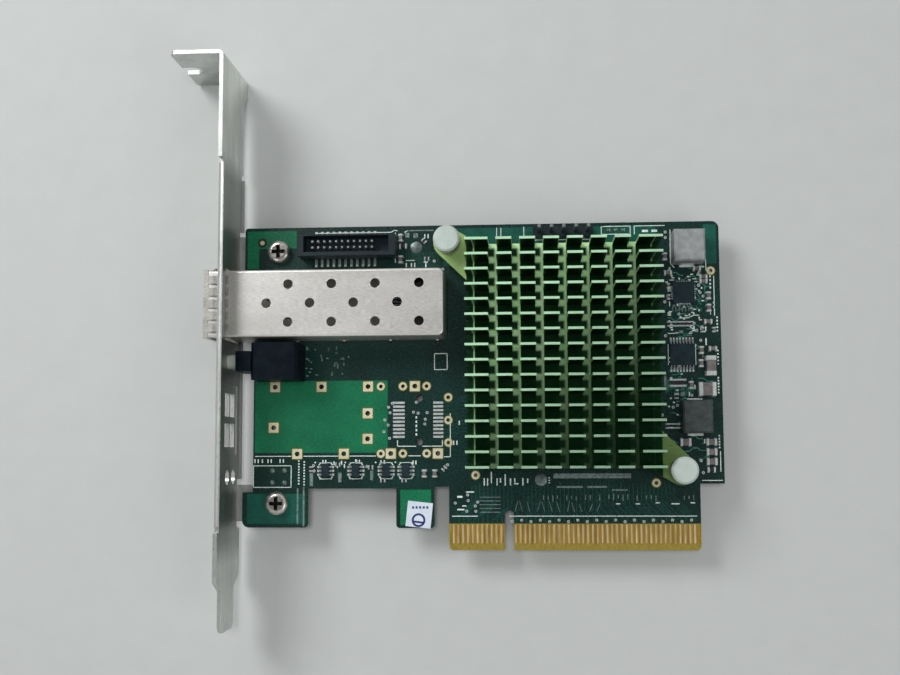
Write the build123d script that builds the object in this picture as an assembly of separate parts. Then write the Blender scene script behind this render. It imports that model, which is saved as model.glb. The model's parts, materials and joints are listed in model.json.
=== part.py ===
from build123d import *
import os

# Short full-height network card, lying flat with its component side up.
# Origin: middle of the key notch on the lower edge of the contact tab, in the middle of the board's
# thickness. +X runs along the card away from the bracket, +Y away from the contacts, +Z out of the
# component side. All sizes are in millimetres.

# Circuit board outline
board_thickness = 1.57
board_left = -56.65
board_past_sink = 13.17
board_above_screw = 5.4
board_corner_left = 0.7
board_corner_right = 1.5
shoulder_height = 13.73
tab_left = -12.6
tab_right = 39.6
tab_corner = 0.6
tab_bevel_height = 1.45
tab_bevel_depth = 0.5
key_notch_width = 1.9
key_notch_depth = 8.25
hook_from_tab = 3.1
hook_width = 8.05
hook_bottom = 4.6
hook_corner = 0.8
hook_gap_top = 13.25
foot_width = 14.14
foot_bottom = 4.7
foot_corner = 1.5
cutout_top = 12.88
edge_recess_depth = 2.25
edge_recess_low = 12.1
edge_recess_high = 44.9

# Edge contacts
contact_pitch = 1.0
contact_width = 0.7
contact_low = 1.48
contact_length = 3.9
contacts_left_of_key = 11
contacts_right_of_key = 38
first_contact_offset = 1.5
plating = 0.05

# Drillings and pads
mounting_hole = 3.2
pad_size = 2.1
pad_hole = 1.05
ring_outer = 1.7
ring_hole = 0.8
lead_hole = 0.9
strip_hole = 1.02
land_beyond_lead = 0.4
land_margin = 0.05
tinned_spot_diameter = 2.5
tinned_spot_height = 0.2
solder_bead_diameter = 1.15
solder_bead_height = 0.35
small_bead_diameter = 0.75
joint_height = 0.9
joint_diameter = 1.5
empty_strip_from_strip = 3.25
empty_strip_from_edge = 1.7
empty_strip_pitch = 1.55
empty_strip_ways = 3

# Plated holes round the empty port: along the card from its mouth, its host lands or its rear, and
# across the card from its middle line
ground_pad_from_mouth = 12.96
ground_pad_across = -1.53
ground_pads_before_host = 8.07
ground_pads_across = (1.42, -3.97)
rings_beside_port = (35.95, 40.65, 45.7)
rings_past_rear = 0.25
rings_across = (4.7, -0.12, -4.85)

# Test holes and tinned spots: from the heat sink's lower near corner, from the board's upper far
# corner, and from the lower far corner of the two-row header
rings_below_sink = ((1.44, -1.46), (39.04, -3.16))
spot_below_sink = (15.14, -2.46)
corner_ring = (-1.85, -10.6)
spot_beside_header = (3.98, 2.4)

# Bracket
bracket_sheet = 0.86
bracket_gap = 1.55
bracket_below_board = 2.265
bracket_width = 18.42
bracket_fold_height = 104.08
bracket_tongue_tip = -15.94
bracket_edge_depth = 1.27
bracket_edge_radius = 1.0
bracket_relief_below_fold = 23.33
bracket_relief_low = 5.07
bracket_relief_width = 1.2
bracket_relief_depth = 1.4
bracket_bend_radius = 1.2
fold_line_tolerance = 0.01
bracket_corner = 1.2
slot_tab_reach = 11.43
slot_tab_width = 21.59
slot_tab_flare_start = 6.68
slot_tab_flare_end = 3.58
slot_width = 4.42
slot_depth = 4.0
slot_from_edge = 11.2
tongue_width = 10.19
tongue_taper_high = -5.4
tongue_taper_low = -7.5
tongue_tip_chamfer = 1.2
screw_tab_root = 7.7
screw_tab_end = 5.5
screw_tab_straight = 5.0
screw_tab_reach = 13.56
screw_tab_collar = 4.2
screw_tab_collar_height = 0.6

# Bracket screws
screw_from_left = 7.55
screw_low_height = 9.8
screw_above_port = 12.2
screw_thread = 3.0
screw_head_diameter = 5.0
screw_head_height = 1.9
screw_length = 4.6
screw_recess_width = 0.8
screw_recess_span = 2.8
screw_recess_depth = 1.1
screw_head_round = 1.05
thread_clearance = 0.05

# Ports
cage_width = 14.0
cage_rise = 9.8
cage_sheet = 0.25
cage_past_bracket = 3.94
cage_length = 50.05
cage_top_radius = 0.5
cage_rear_radius = 1.1
cage_vent_hole = 2.0
cage_vent_pitch = 9.08
cage_outer_vents_from_mouth = 17.76
cage_middle_vents_from_mouth = 13.23
cage_vent_rows_apart = 3.95
cage_vent_margin = 2.5
cage_pin_pitch = 10.0
cage_upper_pins_from_mouth = 13.2
cage_lower_pins_from_mouth = 18.07
cage_pin_margin = 1.0
cage_pin_outset = 0.11
cage_pin_width = 0.6
cage_pin_below_board = 0.9
cage_pin_root_height = 0.5
cage_rear_opening_height = 1.2
cage_rear_opening_from_side = 1.6
cage_side_window_length = 2.0
cage_side_window_height = 0.9
cage_side_window_low = 0.4
cage_floor_before_host = 3.2
cage_floor_flange = 1.6
cage_latch_opening = 3.0
cage_latch_from_mouth = 7.8
cage_tongue_from_latch = 2.0
cage_tongue_length = 8.0
cage_tongue_width = 3.4
cage_tongue_slit = 0.5
port_gap_side = 0.45
port_gap_face = 0.55

# Spring collar at the cage mouth
collar_sheet = 0.12
collar_band = 1.0
collar_bulge = 0.6
collar_finger_width = 1.7
collar_finger_pitch = 2.5
collar_fingers_across = 5
collar_fingers_up = 3
collar_run_past_bracket = 0.6
collar_crest_share = 0.4
collar_exit_rise = 0.02

# Host connector in the cage
host_from_rear = 3.05
host_length = 5.8
host_width = 9.2
host_rise = 5.5
host_chamfer = 0.6
host_slot_width = 8.3
host_slot_height = 1.3
host_slot_rise = 2.6
host_slot_depth = 4.0
host_contact_pitch = 0.8
host_contacts_per_row = 10
host_contact_width = 0.35
host_contact_sheet = 0.2
host_front_foot = 1.8
host_rear_foot = 2.0
host_contact_rise = 1.2
host_front_land = (0.16, 2.65)
host_rear_land = (0.09, 2.23)
host_peg_from_front = 2.92
host_peg_from_middle = 4.62
host_peg_diameter = 1.45
host_peg_length = 1.2
host_peg_clearance = 0.05
host_shoulder_size = 2.9
host_shoulder_rise = 1.5

# Vent panel in the bracket at the empty port
panel_width = 14.6
panel_height = 10.2
panel_raise = 0.3
vent_length = 4.87
vent_rise = 3.7
vent_web_up = 0.55
vent_web_across = 1.42
vent_above_board = 0.43

# Heat sink
sink_from_cage = 4.51
sink_from_header = 14.99
sink_below_edge = 5.0
sink_length = 39.92
sink_base = 2.0
fin_rows = 16
fin_pitch = 3.076
fin_height = 9.3
fin_tip = 0.5
fin_root = 0.7
cross_cuts = 7
cross_cut_pitch = 4.8
cross_cut_width = 1.6
ear_radius = 3.1
pin_past_sink_end = 3.89
pin_past_sink_side = 0.43
ear_root_length = 7.6

# Push pins and their springs
pin_hole = 3.1
pin_shaft = 2.9
pin_head = 5.5
pin_head_thickness = 1.3
pin_head_rise = 10.2
pin_head_edge = 0.4
pin_barb = 3.9
pin_barb_height = 0.9
pin_tip_below_board = 2.5
pin_tip_diameter = 1.8
pin_split = 0.7
spring_wire = 0.5
spring_outer = 4.9
spring_turns = 4

# Controller chip and its thermal pad
chip_size = 25.0
chip_substrate = 1.1
chip_cap_size = 22.0
chip_height = 2.45
thermal_pad_thickness = 0.25
thermal_pad_size = 21.0

# Two-row header
header_from_board_end = 12.51
header_length = 20.71
header_from_cage = 3.5
header_width = 4.55
header_height = 5.7
header_cavity_left = 1.25
header_cavity_length = 18.1
header_cavity_low = 0.8
header_cavity_width = 3.43
header_base_low = 0.9
header_base_high = 2.2
header_pitch = 1.27
header_columns = 11
header_first_pin = 3.04
header_pin_size = 0.41
header_pin_top = 5.0
header_foot_reach = 1.15
header_foot_thickness = 0.3
header_end_wall = 1.2
pin_clearance = 0.02

# Five-way pin strip
strip_pitch = 2.54
strip_ways = 5
strip_from_sink_middle = 0.38
strip_from_edge = 2.0
strip_height = 2.54
strip_corner = 0.55
strip_pin_size = 0.64
strip_pin_top = 8.6
strip_pin_below_board = 1.6

# Indicator block
lamp_below_cage = 1.05
lamp_above_next_pins = 1.14
lamp_above_screw = 5.6
lamp_low = 2.1
lamp_spacing = 4.9
lamp_diameter = 3.0
lamp_past_bracket = 1.14
lamp_seat_depth = 1.9
lamp_clearance = 0.05
lamp_block_from_bracket = 1.9
lamp_neck_length = 3.2
lamp_block_length = 12.9
lamp_neck_width = 4.2
lamp_block_width = 7.7
lamp_block_height = 9.0
lamp_block_chamfer = 0.6
lamp_lead_from_front = 6.05
lamp_lead_pitch = 2.6
lamp_lead_across = 2.54
lamp_lead_size = 0.5
lamp_lead_below_board = 1.3

# Inductors, placed beyond the heat sink's far end and below the board's upper edge
inductor_gap = 0.15
pale_inductor_past_sink = 6.34
pale_inductor_below_edge = 5.93
pale_inductor_length = 6.4
pale_inductor_width = 6.7
pale_inductor_height = 5.8
dark_inductor_past_sink = 7.39
dark_inductor_below_edge = 41.35
dark_inductor_length = 6.1
dark_inductor_width = 6.8
dark_inductor_height = 4.9
inductor_chamfer = 0.35
terminal_width = 2.6
terminal_rise = 1.6
terminal_under = 1.4

# Chips, placed in the same way, and the row of small chips beside the foot
regulator_past_sink = 5.52
regulator_below_edge = 15.2
regulator_size = 4.5
regulator_height = 0.9
regulator_pads_per_side = 6
regulator_pad_pitch = 0.5
regulator_pad_width = 0.28
regulator_pad_reach = 0.25
regulator_pad_height = 0.12
buffer_past_sink = 4.97
buffer_below_edge = 28.3
buffer_length = 5.0
buffer_width = 4.4
buffer_height = 1.1
buffer_lead_pitch = 0.65
buffer_leads_per_side = 8
buffer_lead_width = 0.25
buffer_lead_reach = 1.0
buffer_lead_rise = 0.55
lead_sheet = 0.15
lead_knee_share = 0.4
chip_standoff = 0.1
small_chip_y = 16.6
small_chips_from_board_end = (17.85, 24.3, 30.75, 34.95)
small_chip_length = 2.5
small_chip_width = 1.5
small_chip_height = 1.0
small_chip_lead_pitch = 0.8
small_chip_leads_per_side = 3
small_chip_lead_width = 0.35
small_chip_lead_reach = 0.65
small_chip_lead_rise = 0.45

# Two-terminal parts: length, width, height
large_cap = (4.1, 2.0, 1.6)
wide_cap = (3.5, 2.8, 1.8)
square_cap = (2.2, 1.5, 1.2)
medium_cap = (2.1, 1.3, 0.9)
small_cap = (1.6, 0.8, 0.8)
tiny_cap = (1.0, 0.5, 0.5)
small_resistor = (1.6, 0.8, 0.45)
tiny_resistor = (1.0, 0.5, 0.35)
end_share = 0.22
body_width_share = 0.96
body_height_share = 0.97
upper_bank_past_sink = 2.42
upper_bank_below_edge = 21.8
upper_bank_pitch = 0.93
upper_bank_count = 6
lower_bank_past_sink = 2.72
lower_bank_below_edge = 34.2
lower_bank_pitch = 0.83
lower_bank_count = 4
ear_bank_past_sink = 1.67
ear_bank_below_edge = 43.2
ear_bank_pitch = 0.76
ear_bank_count = 4

# Two-terminal parts in the far column: past the heat sink's end, and below the board's upper edge.
# Level ones lie along the card and upright ones across it.
column_large_caps = ((10.82, 30.7),)
column_wide_caps = ((9.92, 35.6),)
column_square_caps = ((5.27, 46.6),)
column_medium_caps = ((10.62, 46.55), (10.62, 48.6), (10.62, 50.6))
column_upright_caps = ((6.72, 34.7), (10.72, 15.9), (10.72, 18.5), (1.77, 7.5), (8.97, 27.4), (8.87, 30.15))
column_level_caps = ((10.52, 21.4), (2.37, 10.95), (8.42, 10.1), (9.72, 11.9), (9.72, 12.85), (11.37, 27.1))
column_tiny_caps = ((9.32, 23.1), (11.72, 23.1), (2.42, 13.7), (2.42, 16.1))
column_level_resistors = ((10.52, 52.3),)
column_tiny_resistors = ((3.62, 37.0),)

# Two-terminal parts beyond the two-row header, from its lower far corner
header_upright_caps = ((0.63, 4.5), (0.63, -0.2))
header_level_resistors = ((1.13, 2.7),)
header_tiny_resistors = ((6.23, -0.1),)
header_slanted_resistors = ((5.68, 3.8),)

# Two-terminal parts beside the small chips: from the board's near end, and height on the card
row_upright_caps = ((38.85, 16.0), (41.05, 16.0))
row_slanted_caps = ((43.05, 17.0),)
row_upright_resistors = ((14.75, 17.0),)
row_level_resistors = ((20.45, 17.9), (27.45, 17.3), (30.05, 14.6), (34.55, 14.6))
upright = 90.0
slanted = 45.0

# Sticker on the hook
sticker_from_hook_middle = 0.825
sticker_above_hook_end = 2.8
sticker_size = 5.3
sticker_turn = -6.0
sticker_thickness = 0.1

# How far a cutting body runs past the face that it cuts
overcut = 1.0

# Levels and places that follow from the sizes above
board_top = board_thickness / 2
board_bottom = -board_thickness / 2
bracket_inner = board_left - bracket_gap
bracket_outer = bracket_inner - bracket_sheet
bracket_low = board_bottom - bracket_below_board
bracket_high = bracket_low + bracket_width
bracket_middle = bracket_low + bracket_width / 2
bracket_relief_high = bracket_fold_height - bracket_relief_below_fold
slot_tab_flare_low = bracket_fold_height - slot_tab_flare_start
slot_tab_flare_high = bracket_fold_height - slot_tab_flare_end
cage_pin_rows_apart = cage_width + 2 * cage_pin_outset
lamp_below_port = cage_width / 2 + lamp_below_cage + lamp_block_width / 2
port_above_lamp = lamp_block_width / 2 + lamp_above_next_pins + cage_pin_rows_apart / 2
port_spacing = lamp_below_port + port_above_lamp
empty_lamp_height_on_card = screw_low_height + lamp_above_screw
empty_port_height = empty_lamp_height_on_card + lamp_below_port
port_height = empty_port_height + port_spacing
lamp_height_on_card = port_height - lamp_below_port
screw_x = board_left + screw_from_left
screw_high_height = port_height + screw_above_port
screw_points = [(screw_x, screw_low_height), (screw_x, screw_high_height)]
board_height = screw_high_height + board_above_screw
hook_right = tab_left - hook_from_tab
hook_left = hook_right - hook_width
foot_right = board_left + foot_width
port_mouth = bracket_outer - cage_past_bracket
cage_rear = port_mouth + cage_length
cage_top = board_top + cage_rise
host_rear = cage_rear - host_from_rear
host_front = host_rear - host_length
lamp_tip = bracket_outer - lamp_past_bracket
lamp_block_front = bracket_inner + lamp_block_from_bracket
lamp_rear = lamp_block_front + lamp_seat_depth
lamp_neck_rear = lamp_block_front + lamp_neck_length
lamp_block_rear = lamp_block_front + lamp_block_length
lead_level = board_top + plating
chip_top = board_top + chip_height
sink_bottom = chip_top + thermal_pad_thickness
sink_deck = sink_bottom + sink_base
fin_top = sink_deck + fin_height
sink_width = (fin_rows - 1) * fin_pitch + fin_root
header_left = board_left + header_from_board_end
header_right = header_left + header_length
header_low = port_height + cage_width / 2 + header_from_cage
header_high = header_low + header_width
sink_left = max(cage_rear + sink_from_cage, header_right + sink_from_header)
sink_right = sink_left + sink_length
sink_high = board_height - sink_below_edge
sink_low = sink_high - sink_width
sink_centre_x = (sink_left + sink_right) / 2
sink_centre_y = (sink_low + sink_high) / 2
board_right = sink_right + board_past_sink
pin_points = [
    (sink_left - pin_past_sink_end, sink_high + pin_past_sink_side),
    (sink_right + pin_past_sink_end, sink_low - pin_past_sink_side),
]
pin_head_top = board_top + pin_head_rise
pin_head_bottom = pin_head_top - pin_head_thickness
strip_centre_x = sink_centre_x + strip_from_sink_middle
strip_centre_y = board_height - strip_from_edge
strip_pin_xs = [strip_centre_x + (way - (strip_ways - 1) / 2) * strip_pitch for way in range(strip_ways)]
header_pin_xs = [header_left + header_first_pin + column * header_pitch for column in range(header_columns)]
header_row_middle = header_low + header_cavity_low + header_cavity_width / 2
pale_inductor_x = sink_right + pale_inductor_past_sink
pale_inductor_y = board_height - pale_inductor_below_edge
dark_inductor_x = sink_right + dark_inductor_past_sink
dark_inductor_y = board_height - dark_inductor_below_edge
regulator_x = sink_right + regulator_past_sink
regulator_y = board_height - regulator_below_edge
buffer_x = sink_right + buffer_past_sink
buffer_y = board_height - buffer_below_edge
buffer_lead_xs = [
    buffer_x + (n - (buffer_leads_per_side - 1) / 2) * buffer_lead_pitch for n in range(buffer_leads_per_side)
]
small_chip_x = [board_left + distance for distance in small_chips_from_board_end]
small_chip_lead_ys = [
    small_chip_y + (n - (small_chip_leads_per_side - 1) / 2) * small_chip_lead_pitch
    for n in range(small_chip_leads_per_side)
]
sticker_x = (hook_left + hook_right) / 2 + sticker_from_hook_middle
sticker_y = hook_bottom + sticker_above_hook_end


def block(x_low, x_high, y_low, y_high, z_low, z_high):
    """A box given by its lowest and highest corners."""
    middle = Pos((x_low + x_high) / 2, (y_low + y_high) / 2, (z_low + z_high) / 2)
    return middle * Box(x_high - x_low, y_high - y_low, z_high - z_low)


def centred_block(x, y, length, width, z_low, z_high):
    """A box centred on a point of the board."""
    return block(x - length / 2, x + length / 2, y - width / 2, y + width / 2, z_low, z_high)


def rod(x, y, diameter, z_low, z_high):
    """An upright cylinder."""
    return Pos(x, y, (z_low + z_high) / 2) * Cylinder(diameter / 2, z_high - z_low)


def sheet_rectangle(x_low, x_high, y_low, y_high):
    """A flat rectangle given by its corners."""
    return Pos((x_low + x_high) / 2, (y_low + y_high) / 2) * Rectangle(x_high - x_low, y_high - y_low)


def nearest_corners(face, places):
    """The outline's vertices nearest to the given places."""
    return [min(face.vertices(), key=lambda v: (v.X - x) ** 2 + (v.Y - y) ** 2) for x, y in places]


def copies_along_cage(first, pitch, margin):
    """How many copies of a pattern fit along the cage, up to a margin before its rear."""
    return int((cage_length - margin - first) / pitch) + 1


def cage_pin_points(height):
    """Centres of the board pins of the port cage at one height on the card."""
    upper_y = height + cage_pin_rows_apart / 2
    lower_y = height - cage_pin_rows_apart / 2
    upper_x = port_mouth + cage_upper_pins_from_mouth
    lower_x = port_mouth + cage_lower_pins_from_mouth
    upper_count = copies_along_cage(cage_upper_pins_from_mouth, cage_pin_pitch, cage_pin_margin)
    lower_count = copies_along_cage(cage_lower_pins_from_mouth, cage_pin_pitch, cage_pin_margin)
    upper = [(upper_x + n * cage_pin_pitch, upper_y) for n in range(upper_count)]
    lower = [(lower_x + n * cage_pin_pitch, lower_y) for n in range(lower_count)]
    return upper + lower


def host_peg_points(height):
    """Centres of the locating pegs of the host connector at one height on the card."""
    x = host_front + host_peg_from_front
    return [(x, height + host_peg_from_middle), (x, height - host_peg_from_middle)]


def lamp_lead_points(height):
    """Centres of the four leads of an indicator block."""
    first_x = lamp_block_front + lamp_lead_from_front
    return [
        (first_x + column * lamp_lead_pitch, height + row * lamp_lead_across / 2)
        for column in (0, 1)
        for row in (-1, 1)
    ]


def ground_pad_points():
    """Ground pads inside the empty port's footprint."""
    front = (port_mouth + ground_pad_from_mouth, empty_port_height + ground_pad_across)
    x = host_front - ground_pads_before_host
    return [front] + [(x, empty_port_height + across) for across in ground_pads_across]


def ring_points():
    """Plated holes with a round ring beside and behind the empty port, and the test holes elsewhere."""
    sides = [empty_port_height + side * cage_pin_rows_apart / 2 for side in (-1, 1)]
    beside = [(port_mouth + x, y) for y in sides for x in rings_beside_port]
    behind = [(cage_rear + rings_past_rear, empty_port_height + across) for across in rings_across]
    below = [(sink_left + x, sink_low + y) for x, y in rings_below_sink]
    corner = (board_right + corner_ring[0], board_height + corner_ring[1])
    return beside + behind + below + [corner]


def tinned_spot_points():
    """The two round tinned spots."""
    beside_header = (header_right + spot_beside_header[0], header_low + spot_beside_header[1])
    below_sink = (sink_left + spot_below_sink[0], sink_low + spot_below_sink[1])
    return [beside_header, below_sink]


def empty_strip_points():
    """Filled holes of the small empty strip at the top edge."""
    first_x = strip_centre_x + strip_ways * strip_pitch / 2 + empty_strip_from_strip
    y = board_height - empty_strip_from_edge
    return [(first_x + way * empty_strip_pitch, y) for way in range(empty_strip_ways)]


def board_outline():
    """The board's flat outline with tab, hook, foot, notch and edge recess."""
    body = sheet_rectangle(board_left, board_right, shoulder_height, board_height)
    tab = sheet_rectangle(tab_left, tab_right, 0, board_height / 2)
    hook = sheet_rectangle(hook_left, hook_right, hook_bottom, board_height / 2)
    foot = sheet_rectangle(board_left, foot_right, foot_bottom, board_height / 2)
    bridge_left = sheet_rectangle(board_left, hook_right, cutout_top, board_height / 2)
    bridge_right = sheet_rectangle(hook_left, tab_right, hook_gap_top, board_height / 2)
    outline = body + tab + hook + foot + bridge_left + bridge_right
    recess = sheet_rectangle(
        board_left - edge_recess_depth, board_left + edge_recess_depth, edge_recess_low, edge_recess_high
    )
    outline = outline - recess
    outline = fillet(nearest_corners(outline, [(board_left, board_height)]), board_corner_left)
    outline = fillet(nearest_corners(outline, [(board_right, board_height)]), board_corner_right)
    outline = fillet(nearest_corners(outline, [(board_left, foot_bottom)]), foot_corner)
    hook_ends = [(hook_left, hook_bottom), (hook_right, hook_bottom), (foot_right, foot_bottom)]
    outline = fillet(nearest_corners(outline, hook_ends), hook_corner)
    outline = chamfer(nearest_corners(outline, [(tab_left, 0), (tab_right, 0)]), tab_corner)
    notch_round = key_notch_width / 2
    notch_end = key_notch_depth - notch_round
    notch = sheet_rectangle(-notch_round, notch_round, -notch_round, notch_end)
    notch = notch + Pos(0, notch_end) * Circle(notch_round)
    return outline - notch


def board_drillings():
    """Every hole in the board, as one flat set of circles."""
    peg_hole = host_peg_diameter + 2 * host_peg_clearance
    sizes = [(point, mounting_hole) for point in screw_points]
    sizes += [(point, pin_hole) for point in pin_points]
    for height in (port_height, empty_port_height):
        sizes += [(point, pad_hole) for point in cage_pin_points(height)]
        sizes += [(point, peg_hole) for point in host_peg_points(height)]
    sizes += [(point, pad_hole) for point in ground_pad_points()]
    sizes += [(point, ring_hole) for point in ring_points()]
    sizes += [(point, lead_hole) for point in lamp_lead_points(lamp_height_on_card)]
    sizes += [((x, strip_centre_y), strip_hole) for x in strip_pin_xs]
    return Sketch() + [Pos(x, y) * Circle(diameter / 2) for (x, y), diameter in sizes]


def tab_bevels():
    """The two wedges cut from the tab's lower edge."""
    inner = board_top - tab_bevel_depth
    wedge = Polyline(
        (-tab_bevel_height, inner - tab_bevel_depth),
        (-tab_bevel_height, 2 * board_top),
        (tab_bevel_height, 2 * board_top),
        (tab_bevel_height, board_top),
        close=True,
    )
    start = Plane.YZ.offset(tab_left - overcut)
    upper = extrude(start * make_face(wedge), tab_right - tab_left + 2 * overcut)
    return upper + mirror(upper, Plane.XY)


def circuit_board():
    """The glass-fibre board with its drillings and the bevelled tab."""
    flat = board_outline() - board_drillings()
    board = extrude(flat, board_top, both=True)
    return board - tab_bevels()


def edge_contacts():
    """Plated fingers on both faces of the tab."""
    steps = [-(first_contact_offset + n * contact_pitch) for n in range(contacts_left_of_key)]
    steps += [first_contact_offset + n * contact_pitch for n in range(contacts_right_of_key)]
    middle_y = contact_low + contact_length / 2
    fingers = []
    for x in steps:
        fingers.append(
            centred_block(x, middle_y, contact_width, contact_length, board_top, board_top + plating)
        )
        fingers.append(
            centred_block(x, middle_y, contact_width, contact_length, board_bottom - plating, board_bottom)
        )
    return fingers


def plated_pads():
    """Square pads and round rings on both faces, each pierced by its hole."""
    square = Rectangle(pad_size, pad_size) - Circle(pad_hole / 2)
    ring = Circle(ring_outer / 2) - Circle(ring_hole / 2)
    flats = [Pos(x, y) * square for x, y in cage_pin_points(empty_port_height) + ground_pad_points()]
    flats += [Pos(x, y) * ring for x, y in ring_points()]
    pads = []
    for flat in flats:
        pads.append(Pos(0, 0, board_top) * extrude(flat, plating))
        pads.append(Pos(0, 0, board_bottom - plating) * extrude(flat, plating))
    return pads


def land(x, y, turn, start, end, width):
    """One flat tinned land that runs out from a place, turned about it."""
    flat = block(start, end, -width / 2, width / 2, board_top, lead_level)
    return Pos(x, y, 0) * Rot(0, 0, turn) * flat


def host_lands(height):
    """Lands of the host connector's contacts at one height on the card."""
    width = host_contact_width + 2 * land_margin
    lands = []
    for n in range(host_contacts_per_row):
        y = height + (n - (host_contacts_per_row - 1) / 2) * host_contact_pitch
        lands.append(land(host_front, y, 180, *host_front_land, width))
        lands.append(land(host_rear, y, 0, *host_rear_land, width))
    return lands


def tinned_lands():
    """Lands under the surface-mounted leads, and those of the empty port."""
    lands = host_lands(port_height) + host_lands(empty_port_height)
    for x in header_pin_xs:
        width = header_pin_size + 2 * land_margin
        end = header_foot_reach + land_beyond_lead
        lands.append(land(x, header_high, 90, 0, end, width))
        lands.append(land(x, header_low, -90, 0, end, width))
    for x in buffer_lead_xs:
        width = buffer_lead_width + 2 * land_margin
        start = buffer_lead_reach * lead_knee_share
        end = buffer_lead_reach + land_beyond_lead
        lands.append(land(x, buffer_y + buffer_width / 2, 90, start, end, width))
        lands.append(land(x, buffer_y - buffer_width / 2, -90, start, end, width))
    for x in small_chip_x:
        for y in small_chip_lead_ys:
            width = small_chip_lead_width + 2 * land_margin
            start = small_chip_lead_reach * lead_knee_share
            end = small_chip_lead_reach + land_beyond_lead
            lands.append(land(x + small_chip_width / 2, y, 0, start, end, width))
            lands.append(land(x - small_chip_width / 2, y, 180, start, end, width))
    return lands


def dome(x, y, diameter, height):
    """A low round dome standing on the component face."""
    radius = (diameter ** 2 / 4 + height ** 2) / (2 * height)
    ball = Pos(x, y, board_top + height - radius) * Sphere(radius)
    return ball & rod(x, y, diameter, board_top, board_top + height)


def solder_beads():
    """Tinned spots and filled holes on the component face, and the joints under the through leads."""
    beads = [dome(x, y, tinned_spot_diameter, tinned_spot_height) for x, y in tinned_spot_points()]
    lamp_points = lamp_lead_points(empty_lamp_height_on_card)
    beads += [dome(x, y, solder_bead_diameter, solder_bead_height) for x, y in lamp_points]
    beads += [dome(x, y, small_bead_diameter, solder_bead_height) for x, y in empty_strip_points()]
    joints = [(point, lamp_lead_size) for point in lamp_lead_points(lamp_height_on_card)]
    joints += [((x, strip_centre_y), strip_pin_size) for x in strip_pin_xs]
    for (x, y), lead in joints:
        cone = Pos(x, y, board_bottom - joint_height / 2) * Cone(lead, joint_diameter / 2, joint_height)
        lead_way = centred_block(x, y, lead, lead, board_bottom - 2 * joint_height, board_bottom)
        beads.append(cone - lead_way)
    return beads


def bracket_plate():
    """The upright sheet of the bracket, with its stiffened middle stretch."""
    plate = block(
        bracket_outer, bracket_inner, bracket_relief_high, bracket_fold_height, bracket_low, bracket_high
    )
    plate += block(
        bracket_outer, bracket_inner, tongue_taper_high, bracket_relief_low, bracket_low, bracket_high
    )
    section = Pos(bracket_outer + bracket_edge_depth / 2, bracket_middle) * Rectangle(
        bracket_edge_depth, bracket_width
    )
    outer_corners = [(bracket_outer, bracket_low), (bracket_outer, bracket_high)]
    section = fillet(nearest_corners(section, outer_corners), bracket_edge_radius)
    pocket_depth = bracket_edge_depth - bracket_sheet
    section -= Pos(bracket_inner + pocket_depth / 2, bracket_middle) * Rectangle(
        pocket_depth, bracket_width - 2 * bracket_sheet
    )
    # The section lies in X and Z, so it is drawn in a plane that runs up the card.
    upright = Plane(origin=(0, bracket_relief_low, 0), x_dir=(1, 0, 0), z_dir=(0, 1, 0))
    turned = mirror(section, Plane.XZ)
    channel = extrude(upright * turned, bracket_relief_high - bracket_relief_low)
    return plate + channel


def bracket_relief_cuts():
    """Notches in both long edges at the ends of the stiffened stretch."""
    cuts = []
    for height in (bracket_relief_high, bracket_relief_low):
        for edge in (bracket_low, bracket_high):
            cuts.append(
                block(
                    bracket_outer - overcut,
                    bracket_inner + bracket_edge_depth,
                    height - bracket_relief_width / 2,
                    height + bracket_relief_width / 2,
                    edge - bracket_relief_depth,
                    edge + bracket_relief_depth,
                )
            )
    return cuts


def bracket_tongue():
    """The narrow lower end that drops into the chassis."""
    half_body = bracket_width / 2
    half_tongue = tongue_width / 2
    tip = bracket_tongue_tip
    outline = Polyline(
        (tongue_taper_high, -half_body),
        (tongue_taper_low, -half_tongue),
        (tip + tongue_tip_chamfer, -half_tongue),
        (tip, -half_tongue + tongue_tip_chamfer),
        (tip, half_tongue - tongue_tip_chamfer),
        (tip + tongue_tip_chamfer, half_tongue),
        (tongue_taper_low, half_tongue),
        (tongue_taper_high, half_body),
        close=True,
    )
    face = Plane.YZ.offset(bracket_outer) * Pos(0, bracket_middle) * make_face(outline)
    return extrude(face, bracket_sheet)


def bracket_slot_tab():
    """The folded top tab, wider than the body on the solder side, with its screw slot."""
    tab_low = bracket_high - slot_tab_width
    flare = Polyline(
        (slot_tab_flare_low, bracket_low),
        (slot_tab_flare_high, tab_low),
        (bracket_fold_height, tab_low),
        (bracket_fold_height, bracket_low),
        close=True,
    )
    ear = extrude(Plane.YZ.offset(bracket_outer) * make_face(flare), bracket_sheet)
    tab_end = bracket_inner - slot_tab_reach
    fold_low = bracket_fold_height - bracket_sheet
    tab = block(tab_end, bracket_inner, fold_low, bracket_fold_height, tab_low, bracket_high)
    corners = tab.edges().filter_by(Axis.Y).group_by(Axis.X)[0]
    tab = fillet(corners, bracket_corner)
    slot_z = bracket_high - slot_from_edge
    slot_floor = tab_end + slot_depth
    slot_round = slot_width / 2
    slot = block(
        tab_end - overcut, slot_floor - slot_round, fold_low - overcut, bracket_fold_height + overcut,
        slot_z - slot_round, slot_z + slot_round,
    )
    round_end = Pos(slot_floor - slot_round, bracket_fold_height, slot_z) * Rot(90, 0, 0) * Cylinder(
        slot_round, 2 * (bracket_sheet + overcut)
    )
    return ear + tab - slot - round_end


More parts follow.
